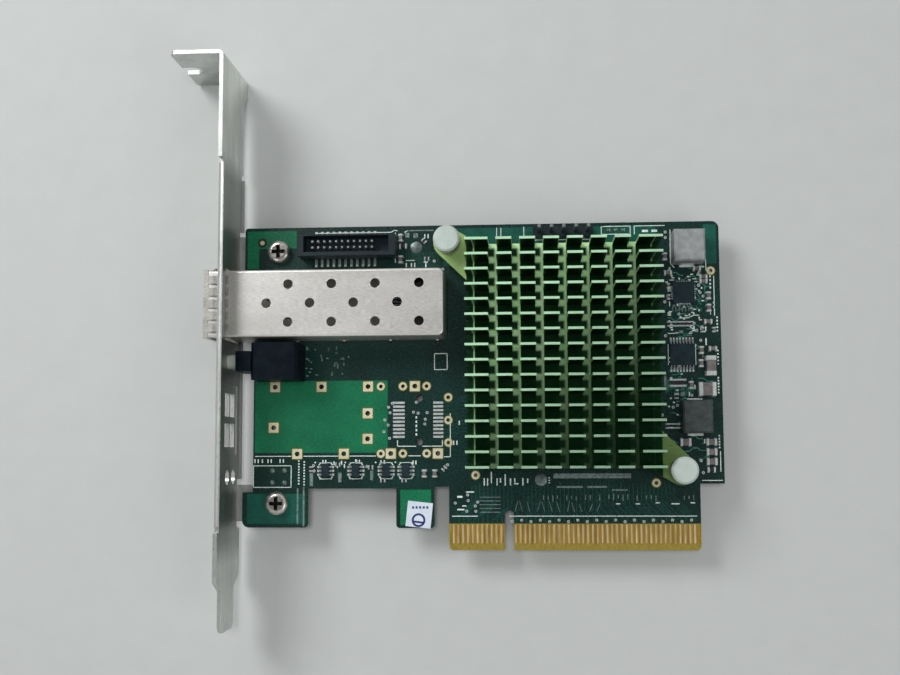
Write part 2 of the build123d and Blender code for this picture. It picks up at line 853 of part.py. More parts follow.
def bracket_screw_tab(height):
    """One tab folded from the bracket's solder-side edge, tapped for a bracket screw."""
    tab_end = bracket_outer + screw_tab_reach
    tab_top = board_bottom
    tab_bottom = tab_top - bracket_sheet
    half_root = screw_tab_root / 2
    half_end = screw_tab_end / 2
    outline = Polyline(
        (bracket_outer, height - half_root),
        (bracket_outer + screw_tab_straight, height - half_root),
        (tab_end, height - half_end),
        (tab_end, height + half_end),
        (bracket_outer + screw_tab_straight, height + half_root),
        (bracket_outer, height + half_root),
        close=True,
    )
    flat = make_face(outline)
    ends = [(tab_end, height - half_end), (tab_end, height + half_end)]
    flat = fillet(nearest_corners(flat, ends), bracket_corner)
    tab = Pos(0, 0, tab_bottom) * extrude(flat, bracket_sheet)
    tab += rod(screw_x, height, screw_tab_collar, tab_bottom - screw_tab_collar_height, tab_bottom)
    bore_end = tab_bottom - screw_tab_collar_height - overcut
    return tab - rod(screw_x, height, screw_thread + 2 * thread_clearance, bore_end, tab_top + overcut)


def bracket_screw_tab_cut(height):
    """The sheet missing beside and below a screw tab."""
    half = screw_tab_root / 2 + bracket_relief_width
    tab_bottom = board_bottom - bracket_sheet
    below = block(
        bracket_outer - overcut, bracket_inner + bracket_edge_depth, height - half, height + half,
        bracket_low - overcut, tab_bottom,
    )
    beside = [
        block(
            bracket_outer - overcut, bracket_inner + bracket_edge_depth,
            height + side * (half - bracket_relief_width / 2) - bracket_relief_width / 2,
            height + side * (half - bracket_relief_width / 2) + bracket_relief_width / 2,
            bracket_low - overcut, board_bottom,
        )
        for side in (-1, 1)
    ]
    return [below] + beside


def bracket_openings():
    """Port window, lamp holes and the vents of the empty port."""
    half_port = cage_width / 2 + port_gap_side
    window = block(
        bracket_outer - overcut, bracket_inner + overcut, port_height - half_port, port_height + half_port,
        board_top - port_gap_face, cage_top + port_gap_face,
    )
    cuts = [window]
    lamp_hole = lamp_diameter / 2 + lamp_clearance
    for height in (lamp_height_on_card, empty_lamp_height_on_card):
        for level in (0, 1):
            z = board_top + lamp_low + level * lamp_spacing
            cuts.append(
                Pos((bracket_outer + bracket_inner) / 2, height, z)
                * Rot(0, 90, 0)
                * Cylinder(lamp_hole, bracket_sheet + 2 * overcut)
            )
    for column in (-1, 1):
        for level in (0, 1):
            y = empty_port_height + column * (vent_length + vent_web_across) / 2
            z = board_top + vent_above_board + vent_rise / 2 + level * (vent_rise + vent_web_up)
            cuts.append(
                block(
                    bracket_outer - overcut, bracket_inner + overcut, y - vent_length / 2,
                    y + vent_length / 2, z - vent_rise / 2, z + vent_rise / 2,
                )
            )
    return cuts


def bracket_panel(shift):
    """The shallow raised field round the vents, drawn at one side of the sheet."""
    low = board_top - (panel_height - 2 * vent_rise - vent_web_up) / 2 + vent_above_board
    half = panel_width / 2
    return block(
        bracket_outer - shift, bracket_inner - shift, empty_port_height - half, empty_port_height + half,
        low, low + panel_height,
    )


def io_bracket():
    """The slot bracket: one folded, pierced sheet."""
    bracket = bracket_plate() + bracket_tongue() + bracket_slot_tab()
    bracket -= bracket_relief_cuts()
    for _, height in screw_points:
        bracket -= bracket_screw_tab_cut(height)
        bracket += bracket_screw_tab(height)
    field = bracket_panel(panel_raise)
    hollow = field & bracket_panel(0)
    bracket = bracket - (bracket_panel(0) - hollow) + field
    bracket -= bracket_openings()
    fold_line = [
        edge
        for edge in bracket.edges().filter_by(Axis.Z)
        if abs(edge.center().X - bracket_inner) < fold_line_tolerance
        and abs(edge.center().Y - bracket_fold_height) < fold_line_tolerance
    ]
    return fillet(fold_line, bracket_bend_radius)


def bracket_screw(x, y):
    """A pan-head screw with a cross recess, its shank ending below the tapped tab."""
    head = rod(x, y, screw_head_diameter, board_top, board_top + screw_head_height)
    rim = head.edges().filter_by(GeomType.CIRCLE).sort_by(Axis.Z)[-1]
    head = fillet(rim, screw_head_round)
    shank = rod(x, y, screw_thread, board_top - screw_length, board_top)
    recess_floor = board_top + screw_head_height - screw_recess_depth
    recess_top = board_top + screw_head_height + overcut
    recess = centred_block(x, y, screw_recess_span, screw_recess_width, recess_floor, recess_top)
    recess += centred_block(x, y, screw_recess_width, screw_recess_span, recess_floor, recess_top)
    return head + shank - recess


def bracket_screws():
    """Both screws that hold the board to the bracket."""
    return [bracket_screw(x, y) for x, y in screw_points]


def cage_vents():
    """Round vents in the top of the cage, in three staggered rows."""
    rows = [
        (cage_outer_vents_from_mouth, cage_vent_rows_apart),
        (cage_outer_vents_from_mouth, -cage_vent_rows_apart),
        (cage_middle_vents_from_mouth, 0),
    ]
    points = []
    for first, across in rows:
        for n in range(copies_along_cage(first, cage_vent_pitch, cage_vent_margin)):
            points.append((port_mouth + first + n * cage_vent_pitch, port_height + across))
    return [rod(x, y, cage_vent_hole, cage_top - overcut, cage_top + overcut) for x, y in points]


def cage_pin(x, y):
    """One press-in pin, stepped out from the side wall."""
    side = 1 if y > port_height else -1
    wall_inner = port_height + side * (cage_width / 2 - cage_sheet)
    outer = y + side * cage_sheet / 2
    half = cage_pin_width / 2
    root = block(
        x - half, x + half, min(wall_inner, outer), max(wall_inner, outer),
        board_top, board_top + cage_pin_root_height,
    )
    pin = centred_block(x, y, cage_pin_width, cage_sheet, board_bottom - cage_pin_below_board, board_top)
    return root + pin


def cage_shell():
    """Top, sides and rear of the port cage, folded from one sheet, with its pins."""
    half = cage_width / 2
    shell = block(port_mouth, cage_rear, port_height - half, port_height + half, board_top, cage_top)
    shell = fillet(shell.edges().filter_by(Axis.Z).group_by(Axis.X)[-1], cage_rear_radius)
    shell = fillet(shell.edges().filter_by(Axis.X).group_by(Axis.Z)[-1], cage_top_radius)
    room = block(
        port_mouth - overcut, cage_rear - cage_sheet, port_height - half + cage_sheet,
        port_height + half - cage_sheet, board_top - overcut, cage_top - cage_sheet,
    )
    room = fillet(room.edges().filter_by(Axis.Z).group_by(Axis.X)[-1], cage_rear_radius - cage_sheet)
    room = fillet(room.edges().filter_by(Axis.X).group_by(Axis.Z)[-1], cage_top_radius - cage_sheet)
    shell -= room
    shell -= cage_vents()
    shell -= centred_block(
        cage_rear, port_height, 2 * overcut, cage_width - 2 * cage_rear_opening_from_side,
        board_top - overcut, board_top + cage_rear_opening_height,
    )
    window_low = board_top + cage_side_window_low
    windows = [
        centred_block(
            x + cage_pin_pitch / 2, port_height, cage_side_window_length, cage_width + overcut,
            window_low, window_low + cage_side_window_height,
        )
        for x, _ in cage_pin_points(port_height)[:2]
    ]
    shell -= windows
    for x, y in cage_pin_points(port_height):
        shell += cage_pin(x, y)
    return shell


def cage_floor():
    """The floor of the port cage, with its side flanges, latch opening and kick-out tongue."""
    half = cage_width / 2 - cage_sheet
    floor_end = host_front - cage_floor_before_host
    floor = block(
        port_mouth, floor_end, port_height - half, port_height + half, board_top, board_top + cage_sheet
    )
    for side in (-1, 1):
        wall = port_height + side * (half - cage_sheet / 2)
        floor += block(
            port_mouth, floor_end, wall - cage_sheet / 2, wall + cage_sheet / 2,
            board_top, board_top + cage_floor_flange,
        )
    latch_x = port_mouth + cage_latch_from_mouth
    cut_low = board_top - overcut
    cut_high = board_top + overcut
    floor -= centred_block(
        latch_x, port_height, cage_latch_opening, cage_latch_opening, cut_low, cut_high
    )
    tongue_front = latch_x + cage_latch_opening / 2 + cage_tongue_from_latch
    tongue_end = tongue_front + cage_tongue_length
    for side in (-1, 1):
        floor -= centred_block(
            (tongue_front + tongue_end) / 2, port_height + side * (cage_tongue_width + cage_tongue_slit) / 2,
            cage_tongue_length, cage_tongue_slit, cut_low, cut_high,
        )
    floor -= centred_block(
        tongue_end - cage_tongue_slit / 2, port_height, cage_tongue_slit, cage_tongue_width, cut_low, cut_high
    )
    return floor


def collar_finger():
    """One spring finger drawn along +X, standing on the plane z = 0, centred on the X axis."""
    start = port_mouth + collar_band
    end = bracket_inner + collar_run_past_bracket
    crest = start + (bracket_outer - start) * collar_crest_share
    under = [(start, 0), (crest, collar_bulge), (bracket_outer, collar_exit_rise), (end, 0)]
    over = [(x, z + collar_sheet) for x, z in reversed(under)]
    top = Polyline(*under, *over, close=True)
    return extrude(Plane.XZ * make_face(top), collar_finger_width / 2, both=True)


def cage_spring_collar():
    """The thin band and bowed fingers that ground the cage to the bracket window."""
    half = cage_width / 2
    middle_z = (board_top + cage_top) / 2
    outer = block(
        port_mouth, port_mouth + collar_band, port_height - half - collar_sheet,
        port_height + half + collar_sheet, board_top - collar_sheet, cage_top + collar_sheet,
    )
    inner = block(
        port_mouth - overcut, port_mouth + collar_band + overcut, port_height - half, port_height + half,
        board_top, cage_top,
    )
    collar = outer - inner
    finger = collar_finger()
    for n in range(collar_fingers_across):
        y = port_height + (n - (collar_fingers_across - 1) / 2) * collar_finger_pitch
        collar += Pos(0, y, cage_top) * finger
        collar += Pos(0, y, board_top) * Rot(180, 0, 0) * finger
    for n in range(collar_fingers_up):
        z = middle_z + (n - (collar_fingers_up - 1) / 2) * collar_finger_pitch
        collar += Pos(0, port_height + half, z) * Rot(-90, 0, 0) * finger
        collar += Pos(0, port_height - half, z) * Rot(90, 0, 0) * finger
    return collar


def host_connector():
    """The moulded body that receives the module's edge, with two locating pegs."""
    half = host_width / 2
    body = block(
        host_front, host_rear, port_height - half, port_height + half, board_top, board_top + host_rise
    )
    body = chamfer(body.edges().filter_by(Axis.Y).group_by(Axis.Z)[-1], host_chamfer)
    slot_z = board_top + host_slot_rise
    half_slot = host_slot_width / 2
    body -= block(
        host_front - overcut, host_front + host_slot_depth, port_height - half_slot, port_height + half_slot,
        slot_z - host_slot_height / 2, slot_z + host_slot_height / 2,
    )
    for x, y in host_peg_points(port_height):
        body += centred_block(
            x, y, host_shoulder_size, host_shoulder_size, board_top, board_top + host_shoulder_rise
        )
        body += rod(x, y, host_peg_diameter, board_top - host_peg_length, board_top)
    return body


def host_connector_contacts():
    """The visible tails of the host connector's contacts, front and rear."""
    tails = []
    for n in range(host_contacts_per_row):
        y = port_height + (n - (host_contacts_per_row - 1) / 2) * host_contact_pitch
        low = y - host_contact_width / 2
        high = y + host_contact_width / 2
        for face, reach in ((host_front, -host_front_foot), (host_rear, host_rear_foot)):
            end = face + reach
            riser_end = face + host_contact_sheet * (1 if reach > 0 else -1)
            foot_top = lead_level + host_contact_sheet
            riser_top = lead_level + host_contact_rise
            foot = block(min(face, end), max(face, end), low, high, lead_level, foot_top)
            riser = block(min(face, riser_end), max(face, riser_end), low, high, lead_level, riser_top)
            tails.append(foot + riser)
    return tails


def sink_ear(pin_x, pin_y):
    """One flat mounting ear, tangent to a round end about its pin."""
    side = 1 if pin_x > sink_centre_x else -1
    edge_x = sink_centre_x + side * sink_length / 2
    corner_y = sink_centre_y - side * sink_width / 2
    root_y = corner_y + side * ear_root_length
    inside_x = edge_x - side * ear_radius
    web = make_hull(
        (Pos(pin_x, pin_y) * Circle(ear_radius)).edges()
        + Line((edge_x, root_y), (inside_x, root_y)).edges()
        + Line((edge_x, corner_y), (inside_x, corner_y)).edges()
    )
    return Pos(0, 0, sink_bottom) * extrude(web, sink_base)


def heat_sink():
    """Extruded base and tapered fins, cross-cut into blades, with two mounting ears."""
    profile = Pos(0, sink_bottom + sink_base / 2) * Rectangle(sink_width, sink_base)
    for n in range(fin_rows):
        y = (n - (fin_rows - 1) / 2) * fin_pitch
        blade = Polyline(
            (y - fin_root / 2, sink_deck - sink_base / 4),
            (y - fin_root / 2, sink_deck),
            (y - fin_tip / 2, fin_top),
            (y + fin_tip / 2, fin_top),
            (y + fin_root / 2, sink_deck),
            (y + fin_root / 2, sink_deck - sink_base / 4),
            close=True,
        )
        profile += make_face(blade)
    start = Plane.YZ.offset(sink_centre_x - sink_length / 2)
    sink = extrude(start * Pos(sink_centre_y, 0) * profile, sink_length)
    cut_length = sink_width + 2 * overcut
    for n in range(cross_cuts):
        x = sink_centre_x + (n - (cross_cuts - 1) / 2) * cross_cut_pitch
        sink -= centred_block(x, sink_centre_y, cross_cut_width, cut_length, sink_deck, fin_top + overcut)
    for x, y in pin_points:
        sink += sink_ear(x, y)
        sink -= rod(x, y, pin_hole, sink_bottom - overcut, sink_deck + overcut)
    return sink


def push_pin(x, y):
    """A moulded pin: flanged head, plain shaft and a split barb that snaps under the board."""
    barb_top = board_bottom
    barb_low = barb_top - pin_barb_height
    tip = board_bottom - pin_tip_below_board
    outline = Polyline(
        (0, tip),
        (pin_tip_diameter / 2, tip),
        (pin_barb / 2, barb_low),
        (pin_barb / 2, barb_top),
        (pin_shaft / 2, barb_top),
        (pin_shaft / 2, pin_head_bottom),
        (pin_head / 2, pin_head_bottom),
        (pin_head / 2, pin_head_top - pin_head_edge),
        (pin_head / 2 - pin_head_edge, pin_head_top),
        (0, pin_head_top),
        close=True,
    )
    pin = revolve(Plane.XZ * make_face(outline), Axis.Z)
    pin -= centred_block(0, 0, pin_split, pin_barb + overcut, tip - overcut, sink_bottom)
    return Pos(x, y, 0) * pin


def push_pins():
    """Both push pins."""
    return [push_pin(x, y) for x, y in pin_points]


def push_pin_spring(x, y):
    """A round-wire coil between the ear and the pin's head."""
    low = sink_deck + spring_wire / 2
    high = pin_head_bottom - spring_wire / 2
    radius = (spring_outer - spring_wire) / 2
    path = Helix(pitch=(high - low) / spring_turns, height=high - low, radius=radius)
    wire = Plane(origin=path @ 0, z_dir=path % 0) * Circle(spring_wire / 2)
    return Pos(x, y, low) * sweep(wire, path=path)


def push_pin_springs():
    """Both springs."""
    return [push_pin_spring(x, y) for x, y in pin_points]


def controller_chip():
    """The square package under the heat sink: substrate and moulded cap."""
    chip = centred_block(
        sink_centre_x, sink_centre_y, chip_size, chip_size, board_top, board_top + chip_substrate
    )
    cap = centred_block(
        sink_centre_x, sink_centre_y, chip_cap_size, chip_cap_size, board_top + chip_substrate, chip_top
    )
    return chip + cap


def thermal_pad():
    """The soft pad between the chip and the heat sink."""
    return centred_block(
        sink_centre_x, sink_centre_y, thermal_pad_size, thermal_pad_size, chip_top, sink_bottom
    )


def header_shroud():
    """The open-topped box of the two-row header, standing on its end walls."""
    top = board_top + header_height
    base_low = board_top + header_base_low
    base_high = board_top + header_base_high
    shroud = block(header_left, header_right, header_low, header_high, board_top, top)
    cavity_left = header_left + header_cavity_left
    cavity_low = header_low + header_cavity_low
    shroud -= block(
        cavity_left, cavity_left + header_cavity_length, cavity_low, cavity_low + header_cavity_width,
        base_high, top + overcut,
    )
    shroud -= block(
        header_left + header_end_wall, header_right - header_end_wall, header_low - overcut,
        header_high + overcut, board_top - overcut, base_low,
    )
    hole = header_pin_size + 2 * pin_clearance
    for x in header_pin_xs:
        for side in (-1, 1):
            y = header_row_middle + side * header_pitch / 2
            shroud -= centred_block(x, y, hole, hole, board_top, base_high + overcut)
    return shroud


def header_pins():
    """Square pins whose feet run out under the shroud to both sides."""
    half = header_pin_size / 2
    pins = []
    for x in header_pin_xs:
        for side in (-1, 1):
            y = header_row_middle + side * header_pitch / 2
            edge = header_high if side > 0 else header_low
            foot_end = edge + side * header_foot_reach
            pin = centred_block(
                x, y, header_pin_size, header_pin_size, lead_level, board_top + header_pin_top
            )
            pin += block(
                x - half, x + half, min(y, foot_end), max(y, foot_end),
                lead_level, lead_level + header_foot_thickness,
            )
            pins.append(pin)
    return pins


def strip_header_base():
    """The black carrier of the pin strip, waisted between its ways."""
    half = strip_pitch / 2
    base = Sketch()
    for x in strip_pin_xs:
        way = Pos(x, strip_centre_y) * Rectangle(strip_pitch, strip_pitch)
        corners = [(x + i * half, strip_centre_y + j * half) for i in (-1, 1) for j in (-1, 1)]
        base += chamfer(nearest_corners(way, corners), strip_corner)
    hole = strip_pin_size + 2 * pin_clearance
    for x in strip_pin_xs:
        base -= Pos(x, strip_centre_y) * Rectangle(hole, hole)
    return Pos(0, 0, board_top) * extrude(base, strip_height)


def strip_header_pins():
    """Five square pins that pass through the carrier and the board."""
    return [
        centred_block(
            x, strip_centre_y, strip_pin_size, strip_pin_size,
            board_bottom - strip_pin_below_board, board_top + strip_pin_top,
        )
        for x in strip_pin_xs
    ]


def led_housing():
    """The black block that holds two lamps facing the bracket."""
    top = board_top + lamp_block_height
    middle = lamp_height_on_card
    body = block(
        lamp_neck_rear, lamp_block_rear, middle - lamp_block_width / 2, middle + lamp_block_width / 2,
        board_top, top,
    )
    body = chamfer(body.edges().filter_by(Axis.Y).group_by(Axis.Z)[-1], lamp_block_chamfer)
    neck = block(
        lamp_block_front, lamp_neck_rear, middle - lamp_neck_width / 2, middle + lamp_neck_width / 2,
        board_top, top,
    )
    housing = body + neck
    bore = lamp_diameter / 2 + lamp_clearance
    for level in (0, 1):
        z = board_top + lamp_low + level * lamp_spacing
        length = lamp_seat_depth + overcut
        middle_x = lamp_rear - length / 2
        housing -= Pos(middle_x, middle, z) * Rot(0, 90, 0) * Cylinder(bore, length)
    return housing


def led_lenses():
    """Two round lamps with domed tips."""
    radius = lamp_diameter / 2
    length = lamp_rear - lamp_tip - radius
    lamps = []
    for level in (0, 1):
        z = board_top + lamp_low + level * lamp_spacing
        middle = Pos(lamp_rear - length / 2, lamp_height_on_card, z)
        barrel = middle * Rot(0, 90, 0) * Cylinder(radius, length)
        tip = Pos(lamp_tip + radius, lamp_height_on_card, z) * Sphere(radius)
        front = block(
            lamp_tip - overcut, lamp_tip + radius, lamp_height_on_card - radius - overcut,
            lamp_height_on_card + radius + overcut, z - radius - overcut, z + radius + overcut,
        )
        lamps.append(barrel + (tip & front))
    return lamps


def led_leads():
    """Four square leads from the housing through the board."""
    return [
        centred_block(
            x, y, lamp_lead_size, lamp_lead_size, board_bottom - lamp_lead_below_board, board_top
        )
        for x, y in lamp_lead_points(lamp_height_on_card)
    ]


def inductor(x, y, length, width, height):
    """A moulded inductor body, standing on its two terminals."""
    low = board_top + inductor_gap
    body = centred_block(x, y, length, width, low, board_top + height)
    return chamfer(body.faces().sort_by(Axis.Z)[-1].edges(), inductor_chamfer)


def pale_inductor():
    """The pale inductor near the top corner."""
    return inductor(
        pale_inductor_x, pale_inductor_y, pale_inductor_length, pale_inductor_width, pale_inductor_height
    )


def dark_inductor():
    """The dark inductor beside the heat sink."""
    return inductor(
        dark_inductor_x, dark_inductor_y, dark_inductor_length, dark_inductor_width, dark_inductor_height
    )


def inductor_terminals():
    """Folded tin terminals under and up the two ends of each inductor."""
    places = [
        (pale_inductor_x, pale_inductor_y, pale_inductor_width),
        (dark_inductor_x, dark_inductor_y, dark_inductor_width),
    ]
    terminals = []
    for x, y, width in places:
        for side in (-1, 1):
            face = y + side * width / 2
            inner = face - side * terminal_under
            outer = face + side * inductor_gap
            left = x - terminal_width / 2
            right = x + terminal_width / 2
            under = block(
                left, right, min(inner, outer), max(inner, outer), board_top, board_top + inductor_gap
            )
            upright = block(
                left, right, min(face, outer), max(face, outer), board_top, board_top + terminal_rise
            )
            terminals.append(under + upright)
    return terminals


def regulator_chip():
    """The square leadless chip."""
    return centred_block(
        regulator_x, regulator_y, regulator_size, regulator_size, board_top, board_top + regulator_height
    )


def regulator_chip_pads():
    """Solder pads that show round the leadless chip."""
    half = regulator_size / 2
    pads = []
    for n in range(regulator_pads_per_side):
        step = (n - (regulator_pads_per_side - 1) / 2) * regulator_pad_pitch
        reach = half + regulator_pad_reach / 2
        for side in (-1, 1):
            upper = (regulator_x + step, regulator_y + side * reach)
            pads.append((upper, regulator_pad_width, regulator_pad_reach))
            beside = (regulator_x + side * reach, regulator_y + step)
            pads.append((beside, regulator_pad_reach, regulator_pad_width))
    return [
        centred_block(x, y, length, width, board_top, board_top + regulator_pad_height)
        for (x, y), length, width in pads
    ]


def gull_lead(rise, reach, width):
    """One bent lead drawn along +X from a package face at x = 0, foot on the plane z = 0."""
    knee = reach * lead_knee_share
    side = Polyline(
        (0, rise), (0, rise + lead_sheet), (knee, rise + lead_sheet), (knee + lead_sheet, lead_sheet),
        (reach, lead_sheet), (reach, 0), (knee, 0), (knee - lead_sheet / 2, rise), close=True,
    )
    return extrude(Plane.XZ * make_face(side), width / 2, both=True)


def buffer_chip():
    """The sixteen-lead chip's body."""
    return centred_block(
        buffer_x, buffer_y, buffer_length, buffer_width, board_top + chip_standoff, board_top + buffer_height
    )


def buffer_chip_leads():
    """Leads along the upper and lower sides of the sixteen-lead chip."""
    lead = gull_lead(buffer_lead_rise, buffer_lead_reach, buffer_lead_width)
    leads = []
    for x in buffer_lead_xs:
        leads.append(Pos(x, buffer_y + buffer_width / 2, lead_level) * Rot(0, 0, 90) * lead)
        leads.append(Pos(x, buffer_y - buffer_width / 2, lead_level) * Rot(0, 0, -90) * lead)
    return leads


def small_chips():
    """Bodies of the four six-lead chips."""
    return [
        centred_block(
            x, small_chip_y, small_chip_width, small_chip_length,
            board_top + chip_standoff, board_top + small_chip_height,
        )
        for x in small_chip_x
    ]


def small_chip_leads():
    """Three leads on the left and right of each six-lead chip."""
    lead = gull_lead(small_chip_lead_rise, small_chip_lead_reach, small_chip_lead_width)
    leads = []
    for x in small_chip_x:
        for y in small_chip_lead_ys:
            leads.append(Pos(x + small_chip_width / 2, y, lead_level) * lead)
            leads.append(Pos(x - small_chip_width / 2, y, lead_level) * Rot(0, 0, 180) * lead)
    return leads


def in_column(points, size, turn):
    """Two-terminal parts of the far column."""
    return [(sink_right + x, board_height - y, size, turn) for x, y in points]


def beside_header(points, size, turn):
    """Two-terminal parts beyond the two-row header."""
    return [(header_right + x, header_low + y, size, turn) for x, y in points]


def beside_small_chips(points, size, turn):
    """Two-terminal parts in the row of the small chips."""
    return [(board_left + x, y, size, turn) for x, y in points]


def capacitor_places():
    """Each capacitor: place, size and turn in degrees."""
    return (
        in_column(column_large_caps, large_cap, upright)
        + in_column(column_wide_caps, wide_cap, 0)
        + in_column(column_square_caps, square_cap, 0)
        + in_column(column_medium_caps, medium_cap, 0)
        + in_column(column_upright_caps, small_cap, upright)
        + in_column(column_level_caps, small_cap, 0)
        + in_column(column_tiny_caps, tiny_cap, upright)
        + beside_header(header_upright_caps, small_cap, upright)
        + beside_small_chips(row_upright_caps, small_cap, upright)
        + beside_small_chips(row_slanted_caps, tiny_cap, slanted)
    )


def resistor_places():
    """Each resistor: place, size and turn in degrees."""
    upper_bank = [
        (upper_bank_past_sink + n * upper_bank_pitch, upper_bank_below_edge) for n in range(upper_bank_count)
    ]
    lower_bank = [
        (lower_bank_past_sink + n * lower_bank_pitch, lower_bank_below_edge) for n in range(lower_bank_count)
    ]
    ear_bank = [
        (ear_bank_past_sink + n * ear_bank_pitch, ear_bank_below_edge) for n in range(ear_bank_count)
    ]
    return (
        in_column(upper_bank, tiny_resistor, upright)
        + in_column(lower_bank, small_resistor, upright)
        + in_column(ear_bank, tiny_resistor, upright)
        + in_column(column_level_resistors, small_resistor, 0)
        + in_column(column_tiny_resistors, tiny_resistor, upright)
        + beside_header(header_level_resistors, small_resistor, 0)
        + beside_header(header_tiny_resistors, tiny_resistor, 0)
        + beside_header(header_slanted_resistors, tiny_resistor, -slanted)
        + beside_small_chips(row_upright_resistors, tiny_resistor, upright)
        + beside_small_chips(row_level_resistors, tiny_resistor, 0)
    )


def chip_body(x, y, size, turn):
    """The middle of a two-terminal part, a little lower and narrower than its end caps."""
    length, width, height = size
    half_length = length / 2 - length * end_share
    half_width = width * body_width_share / 2
    top = board_top + height * body_height_share
    body = block(-half_length, half_length, -half_width, half_width, board_top, top)
    return Pos(x, y, 0) * Rot(0, 0, turn) * body


def chip_ends(x, y, size, turn):
    """The two end caps of a two-terminal part."""
    length, width, height = size
    end = length * end_share
    ends = [
        block(-length / 2, -length / 2 + end, -width / 2, width / 2, board_top, board_top + height),
        block(length / 2 - end, length / 2, -width / 2, width / 2, board_top, board_top + height),
    ]
    return [Pos(x, y, 0) * Rot(0, 0, turn) * cap for cap in ends]


def capacitor_bodies():
    """Ceramic bodies of all capacitors."""
    return [chip_body(*place) for place in capacitor_places()]


def capacitor_ends():
    """End caps of all capacitors."""
    return [cap for place in capacitor_places() for cap in chip_ends(*place)]


def resistor_bodies():
    """Bodies of all resistors."""
    return [chip_body(*place) for place in resistor_places()]


def resistor_ends():
    """End caps of all resistors."""
    return [cap for place in resistor_places() for cap in chip_ends(*place)]


def inspection_sticker():
    """A small paper square, stuck slightly askew on the hook."""
    square = Pos(sticker_x, sticker_y) * Rot(0, 0, sticker_turn) * Rectangle(sticker_size, sticker_size)
    return Pos(0, 0, board_top) * extrude(square, sticker_thickness)


def solids_of(made):
    """The separate solids of a piece or of a list of pieces."""
    pieces = made if isinstance(made, list) else [made]
    return [solid for piece in pieces for solid in piece.solids()]


def write_part(maker):
    """Writes one sub-part under its function's name."""
    solids = solids_of(maker())
    shape = solids[0] if len(solids) == 1 else Compound(solids)
    export_step(shape, os.path.join("parts", maker.__name__ + ".step"))


os.makedirs("parts", exist_ok=True)
makers = [
    circuit_board,
    edge_contacts,
    plated_pads,
    tinned_lands,
    solder_beads,
    io_bracket,
    bracket_screws,
    cage_shell,
    cage_floor,
    cage_spring_collar,
    host_connector,
    host_connector_contacts,
    heat_sink,
    push_pins,
    push_pin_springs,
    controller_chip,
    thermal_pad,
    header_shroud,
    header_pins,
    strip_header_base,
    strip_header_pins,
    led_housing,
    led_lenses,
    led_leads,
    pale_inductor,
    dark_inductor,
    inductor_terminals,
    regulator_chip,
    regulator_chip_pads,
    buffer_chip,
    buffer_chip_leads,
    small_chips,
    small_chip_leads,
    capacitor_bodies,
    capacitor_ends,
    resistor_bodies,
    resistor_ends,
    inspection_sticker,
]
for maker in makers:
    write_part(maker)
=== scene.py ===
import json
import math
import random

import bmesh
import bpy
from mathutils import Matrix, Vector


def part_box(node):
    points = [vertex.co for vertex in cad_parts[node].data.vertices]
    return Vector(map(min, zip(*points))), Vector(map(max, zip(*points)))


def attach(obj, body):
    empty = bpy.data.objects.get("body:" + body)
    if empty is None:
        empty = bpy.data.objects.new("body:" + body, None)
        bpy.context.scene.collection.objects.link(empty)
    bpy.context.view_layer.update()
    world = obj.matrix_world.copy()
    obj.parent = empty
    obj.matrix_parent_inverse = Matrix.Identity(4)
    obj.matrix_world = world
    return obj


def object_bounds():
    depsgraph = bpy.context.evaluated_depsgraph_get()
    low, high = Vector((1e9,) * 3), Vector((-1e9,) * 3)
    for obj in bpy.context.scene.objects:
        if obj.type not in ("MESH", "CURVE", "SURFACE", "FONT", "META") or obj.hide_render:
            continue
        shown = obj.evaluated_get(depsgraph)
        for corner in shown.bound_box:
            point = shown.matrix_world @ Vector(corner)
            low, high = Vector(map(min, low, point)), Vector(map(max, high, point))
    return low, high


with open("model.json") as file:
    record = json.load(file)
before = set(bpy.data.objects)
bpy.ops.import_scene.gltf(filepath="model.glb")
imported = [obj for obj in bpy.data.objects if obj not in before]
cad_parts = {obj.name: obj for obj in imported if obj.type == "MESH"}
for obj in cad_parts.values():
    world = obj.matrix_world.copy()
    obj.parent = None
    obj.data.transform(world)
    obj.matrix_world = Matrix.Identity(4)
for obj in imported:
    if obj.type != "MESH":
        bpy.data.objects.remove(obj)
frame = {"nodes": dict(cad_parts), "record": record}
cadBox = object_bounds()
nodes = frame["nodes"]
mm = 0.001
print("stage: frame loaded,", len(nodes), "nodes")

scene = bpy.context.scene
scene.view_settings.view_transform = "Standard"

boardLow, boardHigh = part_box("circuit_board")
boardTop = boardHigh.z / mm        # component face, in millimetres
boardBottom = boardLow.z / mm
weld = 0.002 * mm                  # corners nearer to each other than this are one


# Small tools for shader trees

def startMaterial(name):
    material = bpy.data.materials.new(name)
    material.use_nodes = True
    tree = material.node_tree
    tree.nodes.clear()
    output = tree.nodes.new("ShaderNodeOutputMaterial")
    shader = tree.nodes.new("ShaderNodeBsdfPrincipled")
    tree.links.new(shader.outputs["BSDF"], output.inputs["Surface"])
    return material, tree, shader


def objectPlace(tree, stretch=(1, 1, 1)):
    coordinates = tree.nodes.new("ShaderNodeTexCoord")
    mapping = tree.nodes.new("ShaderNodeMapping")
    mapping.inputs["Scale"].default_value = stretch
    tree.links.new(coordinates.outputs["Object"], mapping.inputs["Vector"])
    return mapping.outputs["Vector"]


def noiseValue(tree, place, size, detail=3, rough=0.5):
    noise = tree.nodes.new("ShaderNodeTexNoise")
    noise.inputs["Scale"].default_value = 1 / (size * mm)      # one blotch is about size millimetres
    noise.inputs["Detail"].default_value = detail
    noise.inputs["Roughness"].default_value = rough
    tree.links.new(place, noise.inputs["Vector"])
    return noise.outputs["Fac"]


